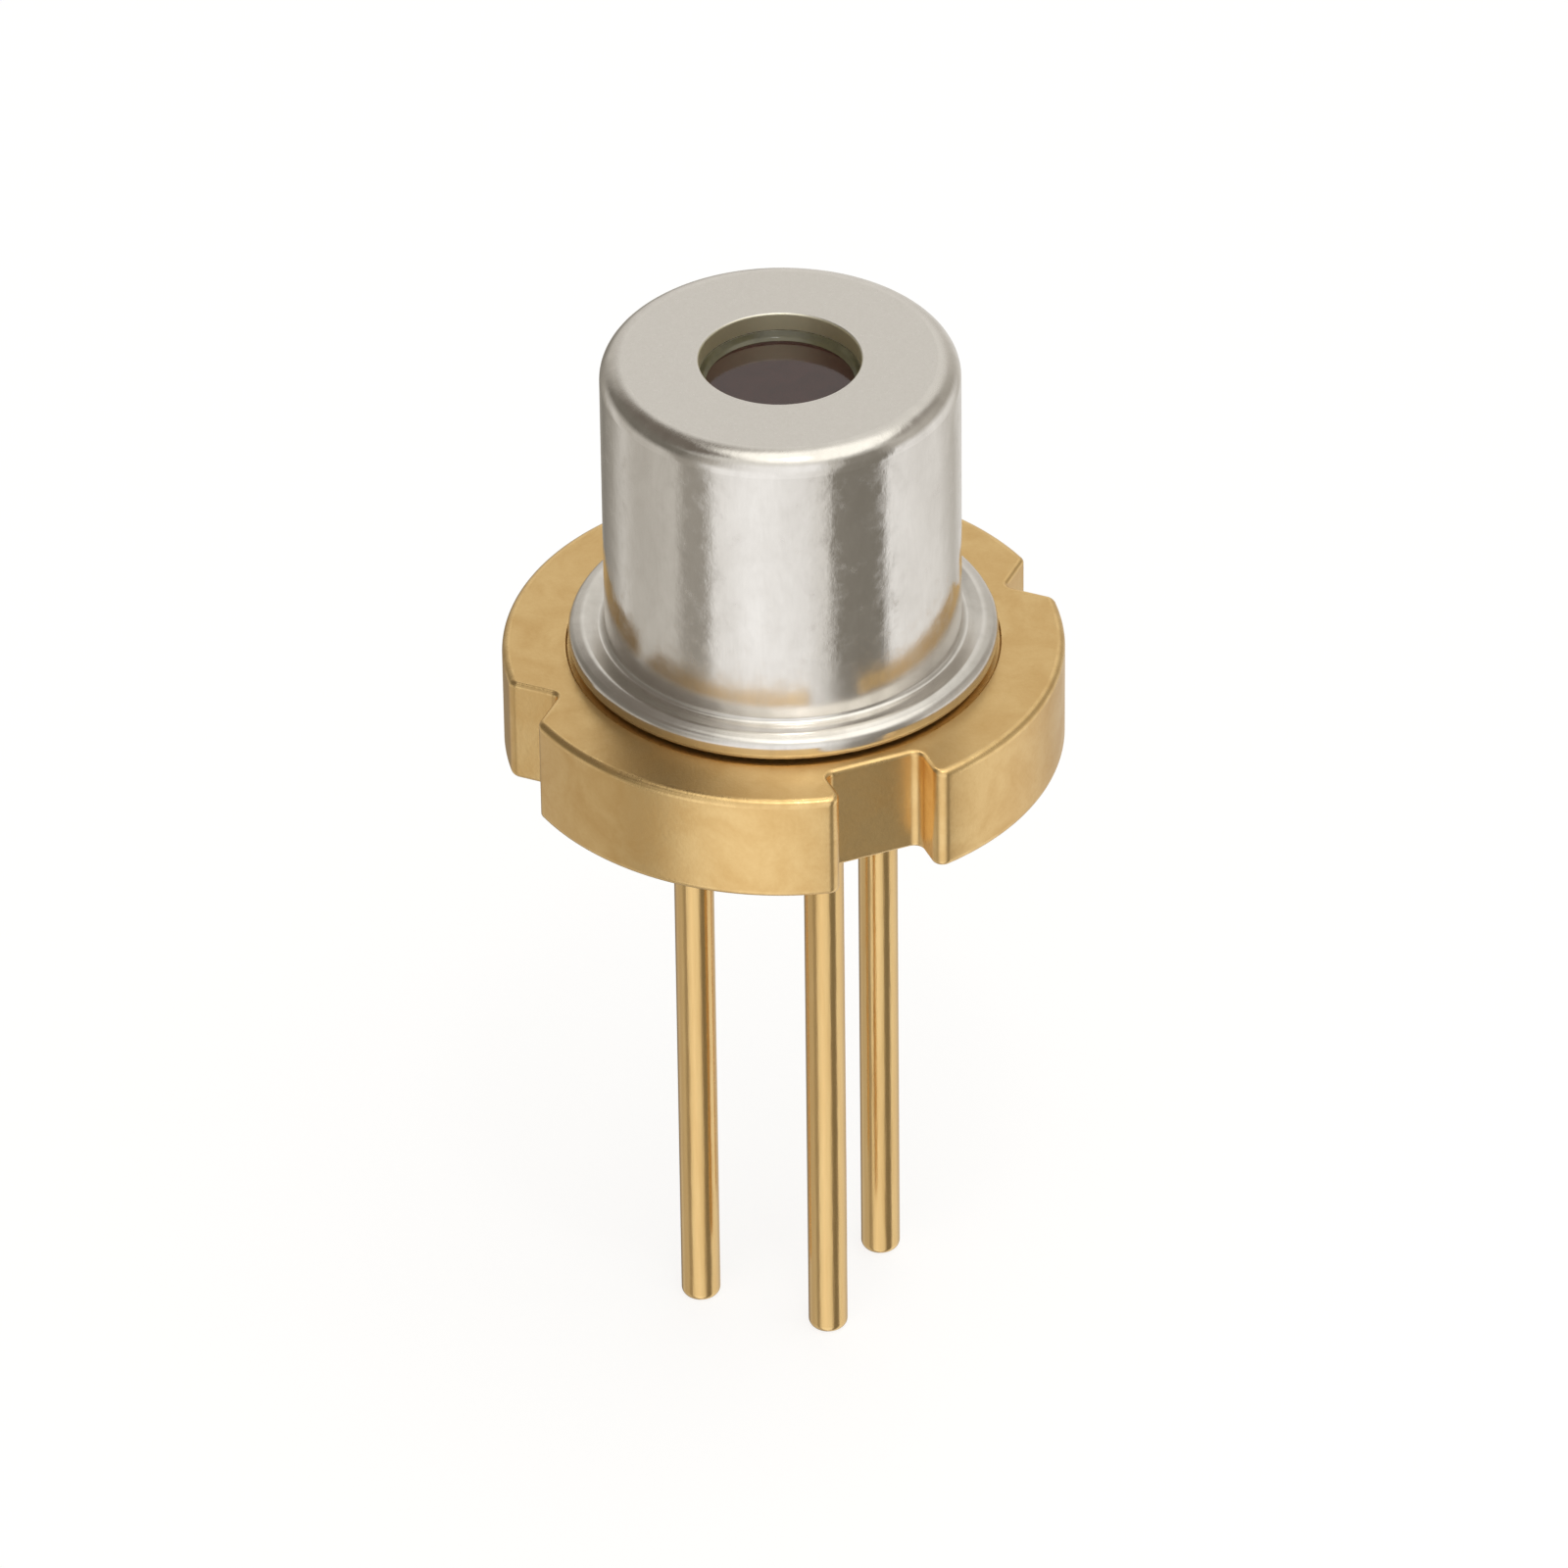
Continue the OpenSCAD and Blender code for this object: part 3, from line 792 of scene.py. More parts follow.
def new_material(name):
    """A node material with a Principled surface: the material, its tree and the surface's inputs."""
    material = bpy.data.materials.new(name)
    material.use_nodes = True
    tree = material.node_tree
    tree.nodes.clear()
    surface = tree.nodes.new("ShaderNodeBsdfPrincipled")
    put(tree, "ShaderNodeOutputMaterial", {"Surface": surface.outputs[0]})
    return material, tree, surface.inputs


def bump(tree, height, distance, under=None):
    """Normal from a height, over another normal if one is given."""
    numbers = {"Strength": 1.0, "Distance": distance, "Height": height}
    if under is not None:
        numbers["Normal"] = under
    return put(tree, "ShaderNodeBump", numbers).outputs[0]


def plated(name, thick, thin, smooth, rough, stretch=EVEN, grains=26000.0, clouds=1800.0, relief=0.4):
    """Plated metal: cloudy colour, drawn grain in roughness and relief, and edges rubbed and painted lighter
    as a highlight.
    """
    material, tree, surface = new_material(name)
    tones = {"Thick": rgba(thick), "Thin": rgba(thin), "Amount": 0.5}
    cloud = use(tree, "clouds", Stretch=stretch, Clouds_per_metre=clouds, **tones)
    grain = use(tree, "grain", Stretch=stretch, Grains_per_metre=grains, Detail=4.0)["Grain"]
    edges = use(tree, "edges")["Mask"]
    # Painted highlight: the edges' colour is mixed towards a lighter tone, which also stands for handling
    # wear.
    bright = rgba([min(1.0, c * 1.12 + 0.02) for c in thick])
    toned = blend(tree, maths(tree, "MULTIPLY", grain, 0.14), cloud["Colour"], rgba(thin))
    tree.links.new(blend(tree, maths(tree, "MULTIPLY", edges, 0.6), toned, bright), surface["Base Color"])
    surface["Metallic"].default_value = 1.0
    half = maths(tree, "MULTIPLY", cloud["Mask"], 0.5)
    dull = maths(tree, "ADD", maths(tree, "MULTIPLY", grain, 0.5), half)
    roughness = spread(tree, dull, 0.0, 1.0, smooth, rough)
    roughness = maths(tree, "MULTIPLY", roughness, spread(tree, edges, 0.0, 1.0, 1.0, 0.75))
    tree.links.new(roughness, surface["Roughness"])
    tree.links.new(bump(tree, grain, relief * 1e-6), surface["Normal"])
    return material


def cap_finish(colours, sizes):
    """Nickel on the drawn cap: shining side with upright marks, dull foot, satin top and olive aperture."""
    material, tree, surface = new_material("nickel_plating_drawn")
    place = put(tree, "ShaderNodeTexCoord").outputs["Object"]
    parts = put(tree, "ShaderNodeSeparateXYZ", {0: place}).outputs
    height = sizes["height"] * MM
    top = spread(tree, parts[2], height - 0.03 * MM, height - 0.004 * MM, 0.0, 1.0)
    drawn = use(
        tree, "clouds", Stretch=(1.0, 1.0, 0.45), Clouds_per_metre=2600.0,
        Thick=rgba(colours.nickel), Thin=rgba(colours.dull_nickel), Amount=0.35,
    )
    grain = use(tree, "grain", Stretch=(1.0, 1.0, 0.12), Grains_per_metre=30000.0, Detail=4.0)["Grain"]
    satin = use(tree, "grain", Grains_per_metre=42000.0, Detail=5.0)["Grain"]
    edges = use(tree, "edges", Breaks_per_metre=5000.0)["Mask"]
    tone = blend(tree, maths(tree, "MULTIPLY", grain, 0.10), drawn["Colour"], rgba(colours.dull_nickel))
    even = blend(tree, maths(tree, "MULTIPLY", satin, 0.10), rgba(colours.nickel), rgba(colours.dull_nickel))
    tone = blend(tree, top, tone, even)
    across = put(tree, "ShaderNodeCombineXYZ", {0: parts[0], 1: parts[1]}).outputs[0]
    radius = vectors(tree, "LENGTH", across, output="Value")
    mouth = sizes["aperture"]
    inside = spread(tree, radius, (mouth + 0.004) * MM, (mouth + 0.012) * MM, 1.0, 0.0)
    tone = blend(tree, inside, tone, rgba(INSIDE_TONE))
    # Painted highlight: the cap's edges are mixed towards a lighter nickel, which also stands for handling
    # wear.
    bright = rgba([min(1.0, c * 1.1 + 0.03) for c in colours.nickel])
    tree.links.new(blend(tree, maths(tree, "MULTIPLY", edges, 0.4), tone, bright), surface["Base Color"])
    surface["Metallic"].default_value = 1.0
    patches = use(tree, "grain", Grains_per_metre=7000.0, Detail=5.0)["Grain"]
    foot = spread(tree, parts[2], 0.5 * MM, 1.1 * MM, 1.0, 0.0)
    above = maths(tree, "SUBTRACT", 1.0, foot)
    patches = maths(tree, "MULTIPLY", maths(tree, "MULTIPLY", patches, patches), above)
    side = spread(tree, maths(tree, "ADD", grain, drawn["Mask"]), 0.0, 2.0, 0.06, 0.12)
    side = maths(tree, "ADD", side, maths(tree, "MULTIPLY", patches, 0.20))
    side = maths(tree, "ADD", side, maths(tree, "MULTIPLY", foot, 0.15))
    flat = spread(tree, satin, 0.0, 1.0, 0.26, 0.40)
    side = maths(tree, "MULTIPLY", side, maths(tree, "SUBTRACT", 1.0, top))
    rough = maths(tree, "ADD", side, maths(tree, "MULTIPLY", flat, top))
    tree.links.new(maths(tree, "MAXIMUM", rough, maths(tree, "MULTIPLY", inside, 0.5)), surface["Roughness"])
    waves = use(tree, "grain", Grains_per_metre=2600.0, Detail=1.0)["Grain"]
    blotches = use(tree, "grain", Stretch=(1.0, 1.0, 0.8), Grains_per_metre=9000.0, Detail=3.0)["Grain"]
    blotches = maths(tree, "MULTIPLY", blotches, spread(tree, foot, 0.0, 1.0, 1.0, 0.25))
    relief = bump(tree, waves, 1.2e-6)
    relief = bump(tree, blotches, 0.7e-6, relief)
    tree.links.new(bump(tree, grain, 0.12e-6, relief), surface["Normal"])
    return material


def glass(name, tint, rough, through, coat=0.0):
    """Glass with a faint haze and specks."""
    material, tree, surface = new_material(name)
    tones = {"Thick": rgba(tint), "Thin": rgba([c * 0.55 for c in tint]), "Amount": 0.6}
    specks = use(tree, "clouds", Clouds_per_metre=5200.0, **tones)
    grain = use(tree, "grain", Grains_per_metre=18000.0, Detail=3.0)["Grain"]
    tree.links.new(specks["Colour"], surface["Base Color"])
    tree.links.new(spread(tree, specks["Mask"], 0.0, 1.0, rough, rough + 0.09), surface["Roughness"])
    surface["Metallic"].default_value = 0.0
    surface["Transmission Weight"].default_value = through
    surface["IOR"].default_value = 1.52
    surface["Coat Weight"].default_value = coat
    surface["Coat Roughness"].default_value = 0.04
    tree.links.new(bump(tree, grain, 0.25e-6), surface["Normal"])
    return material


def mineral(name, base, other, rough, grains=30000.0):
    """Ceramic or crystal with fine grain."""
    material, tree, surface = new_material(name)
    cloud = use(tree, "clouds", Clouds_per_metre=9000.0, Thick=rgba(base), Thin=rgba(other), Amount=0.6)
    grain = use(tree, "grain", Grains_per_metre=grains, Detail=4.0)["Grain"]
    tree.links.new(cloud["Colour"], surface["Base Color"])
    tree.links.new(spread(tree, grain, 0.0, 1.0, rough, rough + 0.15), surface["Roughness"])
    tree.links.new(bump(tree, grain, 0.4e-6), surface["Normal"])
    return material


# ---------------------------------------------------------------- operators


def redress(nodes, material):
    """Gives CAD nodes that stay as they are their finish."""
    for name in nodes:
        mesh_object = frame["nodes"][name]
        for place in mesh_object.material_slots:
            place.material = material


class LASERDIODE_OT_stem(bpy.types.Operator):
    """Build the gold-plated stem with its notches and eyelets"""

    bl_idname = "laserdiode.stem"
    bl_label = "Stem"

    def execute(self, context):
        scene = context.scene
        colours = scene.laser_diode_colours
        material = plated("gold_plating_satin", colours.gold, colours.deep_gold, 0.29, 0.41, relief=0.7)
        made = build_stem(sizes_of(scene.laser_diode_stem), sizes_of(scene.laser_diode_leads), material)
        settle(made, ["stem_base"])
        return {"FINISHED"}


def lead_corners(radius, bottom, top, tip, flat_low, flat_step):
    """Half outline of a lead, from the middle of its tip to the middle of its top."""
    return [
        (0.0, bottom, 0.0),
        (radius, bottom, tip),
        (radius, flat_low, 0.0),
        (radius, flat_low + flat_step, 0.0),
        (radius, top, 0.012),
        (0.0, top, 0.0),
    ]


class LASERDIODE_OT_leads(bpy.types.Operator):
    """Build the three drawn leads on their circle"""

    bl_idname = "laserdiode.leads"
    bl_label = "Leads"

    def execute(self, context):
        scene = context.scene
        colours = scene.laser_diode_colours
        sizes = sizes_of(scene.laser_diode_leads)
        material = plated(
            "gold_plating_drawn", colours.gold, colours.deep_gold, 0.15, 0.30,
            stretch=(1.0, 1.0, 0.06), grains=32000.0, clouds=3000.0, relief=0.5,
        )
        names = ["Radius", "Bottom", "Top", "Tip", "Flat low", "Flat step"]
        tree = turned_tree("Lead on its circle", names, lead_corners, False)
        for node, turn in (("laser_lead", 180.0), ("monitor_lead", 0.0), ("ground_lead", -90.0)):
            low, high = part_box(node)
            way = Vector((math.cos(math.radians(turn)), math.sin(math.radians(turn)), 0.0))
            top = high.z * PER_MM
            values = {
                "Radius": sizes["radius"],
                "Bottom": low.z * PER_MM,
                "Top": top,
                "Tip": sizes["tip"],
                "Flat low": top - sizes["flat_height"],
                "Flat step": 0.01,
                "Hold": 0.015,
                "Steps around": 64,
                "Place": way * sizes["circle"],
            }
            made = grow(node + "_wire", tree, values, material)
            if node == "laser_lead":
                coin_flat(made.data, sizes, top)
            settle(made, [node])
        return {"FINISHED"}


def coin_flat(mesh, sizes, top):
    """Presses the bonding flat into the front of the laser lead's post."""
    floor = -(sizes["radius"] - sizes["flat_depth"]) * MM
    start = (top - sizes["flat_height"] + 0.005) * MM
    for vertex in mesh.vertices:
        if vertex.co.z > start and vertex.co.y < floor:
            vertex.co.y = floor


def cap_corners(radius, height, wall, top, edge, inner, reach, rim, fillet, mouth, aperture, lip):
    """Half section of the cap, around from its top edge."""
    bore = radius - wall
    ceiling = height - top
    return [
        (radius, height, edge),
        (aperture, height, lip),
        (aperture, ceiling, 0.01),
        (bore, ceiling, inner),
        (bore, 0.0, mouth),
        (radius + reach, 0.0, rim * 0.40),
        (radius + reach, rim * 0.80, rim * 0.38),
        (radius + reach * 0.62, rim, reach * 0.30),
        (radius, rim * 0.82, fillet),
    ]


class LASERDIODE_OT_cap(bpy.types.Operator):
    """Build the drawn nickel cap with its weld rim"""

    bl_idname = "laserdiode.cap"
    bl_label = "Cap"

    def execute(self, context):
        scene = context.scene
        sizes = sizes_of(scene.laser_diode_cap)
        labels = {
            "Radius": "radius", "Height": "height", "Wall": "wall", "Top": "top", "Edge": "edge",
            "Inner edge": "inner_edge", "Rim reach": "rim_reach", "Rim height": "rim_height",
            "Rim fillet": "rim_fillet", "Mouth": "mouth", "Aperture": "aperture",
            "Aperture edge": "aperture_edge",
        }
        tree = turned_tree("Drawn cap", list(labels), cap_corners, True)
        values = {label: sizes[name] for label, name in labels.items()}
        values["Rounding points"] = 12
        material = cap_finish(scene.laser_diode_colours, sizes)
        made = grow("nickel_cap", tree, values, material)
        settle(made, ["cap"])
        redress(["cap_weld"], material)
        return {"FINISHED"}


def disc_corners(radius, bottom, top, chamfer):
    """Half section of a disc."""
    return [(0.0, bottom, 0.0), (radius, bottom, chamfer), (radius, top, chamfer), (0.0, top, 0.0)]


def frit_corners(window, glass_top, radius, bottom, top, aperture, creep):
    """Half section of the window's sealing glass, with its hollow meniscus in the aperture."""
    return [
        (aperture - creep, glass_top, 0.0),
        (window, glass_top, 0.0),
        (window, bottom, 0.01),
        (radius, bottom, 0.02),
        (radius, top, 0.02),
        (aperture, top, 0.0),
        (aperture - creep * 0.45, glass_top + (top - glass_top) * 0.3, 0.06),
    ]


class LASERDIODE_OT_window(bpy.types.Operator):
    """Build the coated window and the glass that seals it"""

    bl_idname = "laserdiode.window"
    bl_label = "Window"

    def execute(self, context):
        scene = context.scene
        colours = scene.laser_diode_colours
        sizes = sizes_of(scene.laser_diode_window)
        cap = sizes_of(scene.laser_diode_cap)
        disc = turned_tree("Window disc", ["Radius", "Bottom", "Top", "Chamfer"], disc_corners, False)
        values = {
            "Radius": sizes["radius"], "Bottom": sizes["bottom"], "Top": sizes["top"],
            "Chamfer": sizes["chamfer"], "Steps around": 144,
        }
        # Painted shade: the window glass gets a dark tint and little transmission, so it looks as dark as the
        # shaded can behind it. Its hue is partly the coating's tint.
        coated = glass("window_coating_and_painted_shade", colours.window, 0.05, 0.35, 0.3)
        settle(grow("coated_window", disc, values, coated), ["window_glass"])
        names = ["Window", "Glass top", "Radius", "Bottom", "Top", "Aperture", "Creep"]
        ring = turned_tree("Sealing glass", names, frit_corners, True)
        values = {
            "Window": sizes["radius"], "Glass top": sizes["top"], "Radius": sizes["frit_radius"],
            "Bottom": sizes["frit_bottom"], "Top": sizes["frit_top"], "Aperture": cap["aperture"],
            "Creep": sizes["creep"], "Steps around": 144, "Hold": 0.006,
        }
        olive = glass("frit_glass_olive", colours.frit, 0.12, 0.2, 0.3)
        settle(grow("window_sealing_glass", ring, values, olive), ["window_frit"])
        return {"FINISHED"}


def seal_corners(inside, outside, bottom, top, climb):
    """Half section of a lead's glass seal, hollow between the lead and its eyelet on both faces."""
    quarter = (outside - inside) * 0.25
    return [
        (inside, top + climb, 0.0),
        (inside + quarter * 0.5, top, 0.04),
        (outside - quarter * 0.5, top, 0.04),
        (outside, top + climb, 0.0),
        (outside, bottom - climb, 0.0),
        (outside - quarter * 0.5, bottom, 0.04),
        (inside + quarter * 0.5, bottom, 0.04),
        (inside, bottom - climb, 0.0),
    ]


def fillet_corners(radius, face, reach):
    """Half section of the hollow fillet of braze between the stem's underside and the lead."""
    return [
        (radius, face, 0.0),
        (radius + reach, face, 0.0),
        (radius + reach * 0.28, face - reach * 0.28, 0.08),
        (radius, face - reach, 0.0),
    ]


class LASERDIODE_OT_seals(bpy.types.Operator):
    """Build the glass seals and the braze that hold the leads"""

    bl_idname = "laserdiode.seals"
    bl_label = "Seals and Braze"

    def execute(self, context):
        scene = context.scene
        colours = scene.laser_diode_colours
        leads = sizes_of(scene.laser_diode_leads)
        stem = sizes_of(scene.laser_diode_stem)
        dark = glass("seal_glass_dark", colours.seal, 0.06, 0.15, 0.4)
        names = ["Inside", "Outside", "Bottom", "Top", "Climb"]
        tree = turned_tree("Lead seal", names, seal_corners, True)
        for node, x in (("laser_lead_seal", -leads["circle"]), ("monitor_lead_seal", leads["circle"])):
            low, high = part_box(node)
            values = {
                "Inside": leads["radius"], "Outside": stem["eyelet"], "Bottom": low.z * PER_MM,
                "Top": high.z * PER_MM, "Climb": leads["meniscus"], "Steps around": 96,
                "Place": (x, 0.0, 0.0),
            }
            settle(grow(node + "_bead", tree, values, dark), [node])
        silver = plated("braze_silver", colours.braze, colours.solder, 0.2, 0.4, clouds=7000.0, relief=0.8)
        tree = turned_tree("Braze fillet", ["Radius", "Face", "Reach"], fillet_corners, True)
        values = {
            "Radius": leads["radius"] - SUNK, "Face": -stem["thickness"] + SUNK,
            "Reach": leads["braze_reach"], "Steps around": 64, "Place": (0.0, -leads["circle"], 0.0),
        }
        fillet = grow("ground_lead_fillet", tree, values, silver)
        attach(fillet, "root")
        redress(["ground_lead_braze", "heat_sink_braze"], silver)
        return {"FINISHED"}


def wire_tree():
    """A tree for a bond wire: a loop of round wire between two flattened bonds, in millimetres."""
    tree = bpy.data.node_groups.new("Bond wire", "GeometryNodeTree")
    ends = ["Start", "Start way", "End", "End way"]
    numbers = ["Reach", "Wire radius", "Bond radius", "Bond height"]
    inputs = [(name, "NodeSocketVector", None) for name in ends]
    inputs += [(name, "NodeSocketFloat", 0.0) for name in numbers]
    group_sockets(tree, inputs + [("Finish", "NodeSocketMaterial", None)], [("Piece", "NodeSocketGeometry")])
    given = put(tree, "NodeGroupInput").outputs

    def beyond(point, way, reach):
        """The point that lies reach from another along way."""
        return vectors(tree, "ADD", point, vectors(tree, "SCALE", way, reach))

    start = beyond(given["Start"], given["Start way"], given["Bond height"])
    end = beyond(given["End"], given["End way"], given["Bond height"])
    bent = {
        "Resolution": 40,
        "Start": start,
        "Start Handle": beyond(start, given["Start way"], given["Reach"]),
        "End Handle": beyond(end, given["End way"], given["Reach"]),
        "End": end,
    }
    segment = put(tree, "GeometryNodeCurvePrimitiveBezierSegment", bent, mode="POSITION").outputs[0]
    around = {"Resolution": 16, "Radius": given["Wire radius"]}
    section = put(tree, "GeometryNodeCurvePrimitiveCircle", around).outputs[0]
    swept = {"Curve": segment, "Profile Curve": section, "Fill Caps": True}
    parts = [put(tree, "GeometryNodeCurveToMesh", swept).outputs[0]]
    ball = put(tree, "GeometryNodeMeshUVSphere", {"Segments": 24, "Rings": 12, "Radius": 1.0})
    flat = put(tree, "ShaderNodeCombineXYZ", {0: given["Bond radius"], 1: given["Bond radius"]})
    tree.links.new(maths(tree, "MULTIPLY", given["Bond height"], 0.75), flat.inputs[2])
    for point, way in (("Start", "Start way"), ("End", "End way")):
        turn = put(tree, "FunctionNodeAlignRotationToVector", {"Vector": given[way]}, axis="Z")
        middle = beyond(given[point], given[way], maths(tree, "MULTIPLY", given["Bond height"], 0.6))
        pressed = {"Geometry": ball.outputs[0], "Translation": middle}
        pressed.update({"Rotation": turn.outputs[0], "Scale": flat.outputs[0]})
        parts.append(put(tree, "GeometryNodeTransform", pressed).outputs[0])
    joined = tree.nodes.new("GeometryNodeJoinGeometry")
    for part in parts:
        tree.links.new(part, joined.inputs[0])
    return hand_over(tree, joined.outputs[0], given["Finish"])


def box_in_mm(node):
    """Lowest and highest corner of a CAD node, in millimetres."""
    return [corner * PER_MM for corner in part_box(node)]


class LASERDIODE_OT_wires(bpy.types.Operator):
    """Build the gold bond wires"""

    bl_idname = "laserdiode.wires"
    bl_label = "Bond Wires"

    def execute(self, context):
        scene = context.scene
        colours = scene.laser_diode_colours
        sizes = sizes_of(scene.laser_diode_leads)
        tones = (colours.gold, colours.deep_gold)
        material = plated("gold_wire_bright", *tones, 0.12, 0.2, grains=90000.0, relief=0.1)
        front = Vector((0.0, -1.0, 0.0))
        upward = Vector((0.0, 0.0, 1.0))
        tilted = Vector((0.0, math.sin(DIODE_TILT), math.cos(DIODE_TILT)))
        circle = sizes["circle"]
        post_top = box_in_mm("laser_lead")[1].z
        chip_low, chip_high = box_in_mm("laser_chip")
        sub_low, sub_high = box_in_mm("submount")
        block_low, block_high = box_in_mm("heat_sink_block")
        diode_low, diode_high = box_in_mm("monitor_photodiode")
        monitor_top = box_in_mm("monitor_lead")[1].z
        flat = Vector((-circle, sizes["flat_depth"] - sizes["radius"], post_top - sizes["flat_height"] / 2))
        chip = Vector((0.0, chip_low.y, (chip_low.z + chip_high.z) / 2))
        level = sub_high.z - (sub_high.z - sub_low.z) / 4
        pad = Vector(((chip_high.x + sub_high.x) / 2, sub_low.y, level))
        ledge = Vector(((sub_high.x + block_high.x) / 2, block_low.y, level))
        middle = (diode_low + diode_high) / 2
        diode = middle + tilted * 0.1 + Vector(((diode_high.x - diode_low.x) / 3, 0.0, 0.0))
        routes = {
            "laser_wire": (flat, front, chip, front, 0.35),
            "submount_wire": (pad, front, ledge, front, 0.2),
            "photodiode_wire": (Vector((circle, 0.0, monitor_top)), upward, diode, tilted, 0.3),
        }
        tree = wire_tree()
        for node, (start, start_way, end, end_way, loop) in routes.items():
            values = {
                "Start": start, "Start way": start_way, "End": end, "End way": end_way,
                "Reach": (loop - sizes["bond_height"]) * 4 / 3, "Wire radius": sizes["wire"],
                "Bond radius": sizes["bond"], "Bond height": sizes["bond_height"],
            }
            settle(grow(node + "_loop", tree, values, material), [node])
        return {"FINISHED"}


class LASERDIODE_OT_inside(bpy.types.Operator):
    """Finish the pieces sealed inside the can"""

    bl_idname = "laserdiode.inside"
    bl_label = "Inside"

    def execute(self, context):
        colours = context.scene.laser_diode_colours
        copper = plated("copper_gold_flashed", colours.copper, colours.deep_gold, 0.2, 0.35)
        solder = plated("solder_dull", colours.solder, colours.dull_nickel, 0.35, 0.5, clouds=9000.0)
        white = mineral("submount_ceramic_white", colours.ceramic, [c * 0.8 for c in colours.ceramic], 0.4)
        crystal = mineral("laser_crystal_polished", colours.crystal, [c * 1.5 for c in colours.crystal], 0.12)
        silicon = mineral("silicon_polished", colours.silicon, [c * 1.6 for c in colours.silicon], 0.1)
        redress(["heat_sink_block"], copper)
        redress(["submount_solder", "chip_solder", "photodiode_solder"], solder)
        redress(["submount"], white)
        redress(["laser_chip"], crystal)
        redress(["monitor_photodiode"], silicon)
        return {"FINISHED"}


# ---------------------------------------------------------------- studio


def studio_floor(height):
    """A plain pale floor that keeps the object's shadow and lets reflections see the studio's light."""
    mesh = bpy.data.meshes.new("studio_floor")
    work = bmesh.new()
    bmesh.ops.create_grid(work, x_segments=8, y_segments=8, size=0.4)
    bmesh.ops.translate(work, vec=(0.0, 0.0, height), verts=work.verts)
    work.to_mesh(mesh)
    work.free()
    floor = bpy.data.objects.new("studio_floor", mesh)
    bpy.context.scene.collection.objects.link(floor)
    material = bpy.data.materials.new("studio_floor_pale")
    material.use_nodes = True
    tree = material.node_tree
    tree.nodes.clear()
    rays = put(tree, "ShaderNodeLightPath").outputs
    matte = put(tree, "ShaderNodeBsdfDiffuse", {"Color": (0.3, 0.3, 0.3, 1.0)}).outputs[0]
    glow = put(tree, "ShaderNodeEmission", {"Color": (1.0, 1.0, 1.0, 1.0), "Strength": 0.80}).outputs[0]
    seen = put(tree, "ShaderNodeAddShader", {0: matte, 1: glow}).outputs[0]
    plain = put(tree, "ShaderNodeBsdfDiffuse", {"Color": (0.85, 0.85, 0.85, 1.0)}).outputs[0]
    clear = put(tree, "ShaderNodeBsdfTransparent").outputs[0]
    mirrored = maths(tree, "MAXIMUM", rays["Is Glossy Ray"], rays["Is Transmission Ray"])
    behind = put(tree, "ShaderNodeNewGeometry").outputs["Backfacing"]
    first = put(tree, "ShaderNodeMixShader", {0: rays["Is Camera Ray"], 1: plain, 2: seen}).outputs[0]
    through = maths(tree, "MAXIMUM", mirrored, behind)
    last = put(tree, "ShaderNodeMixShader", {0: through, 1: first, 2: clear}).outputs[0]
    put(tree, "ShaderNodeOutputMaterial", {"Surface": last})
    mesh.materials.append(material)


def ramp(tree, share, stops):
    """A colour ramp with stops given as (azimuth in degrees, brightness), warmer where it is darker."""
    node = tree.nodes.new("ShaderNodeValToRGB")
    tree.links.new(share, node.inputs[0])
    elements = node.color_ramp.elements
    while len(elements) < len(stops):
        elements.new(0.5)
    for element, (azimuth, level) in zip(elements, stops):
        element.position = (azimuth + 180.0) / 360.0
        warmth = max(0.0, 1.0 - level)
        element.color = (level * (1 + 0.10 * warmth), level, level * (1 - 0.18 * warmth), 1.0)
    return node.outputs[0]


SKY = (0.77, 0.755, 0.71)
LOW_LIGHT = [
    (-180.0, 0.40), (-158.0, 0.22), (-138.0, 0.34), (-122.0, 0.64), (-108.0, 0.50), (-72.0, 0.56),
    (-65.0, 0.33), (-50.0, 0.33), (-44.0, 0.88), (-20.0, 1.06), (14.0, 0.94), (28.0, 0.74),
    (34.0, 0.23), (66.0, 0.21), (72.0, 0.92), (118.0, 0.80), (142.0, 0.52), (160.0, 0.70),
]
MIDDLE_LIGHT = [
    (-180.0, 0.75), (-152.0, 0.50), (-128.0, 0.17), (-62.0, 0.17), (-44.0, 0.40), (-24.0, 0.90),
    (0.0, 1.02), (20.0, 1.08), (31.0, 0.60), (40.0, 0.24), (60.0, 0.24), (76.0, 0.52),
    (100.0, 0.44), (128.0, 0.36), (150.0, 0.50), (180.0, 0.75),
]
PANELS = [
    (-108.0, 50.0, 28.0, 47.0, (0.17, 0.148, 0.125)),  # dark flag on the left
    (106.0, 24.0, 14.0, 40.0, (0.31, 0.285, 0.255)),  # dark flag on the right
    (48.0, 74.0, 20.0, 42.0, (1.28, 1.26, 1.18)),  # bright panel overhead
]


def panel(tree, way, azimuth, elevation, full, end):
    """How much of a round soft panel lies in a direction: 1 within the full angle, 0 past the end angle."""
    facing = vectors(tree, "DOT_PRODUCT", way, direction(azimuth, elevation), output="Value")
    low, high = math.cos(math.radians(end)), math.cos(math.radians(full))
    numbers = {0: facing, 1: low, 2: high, 3: 0.0, 4: 1.0}
    return put(tree, "ShaderNodeMapRange", numbers, interpolation_type="SMOOTHSTEP").outputs[0]


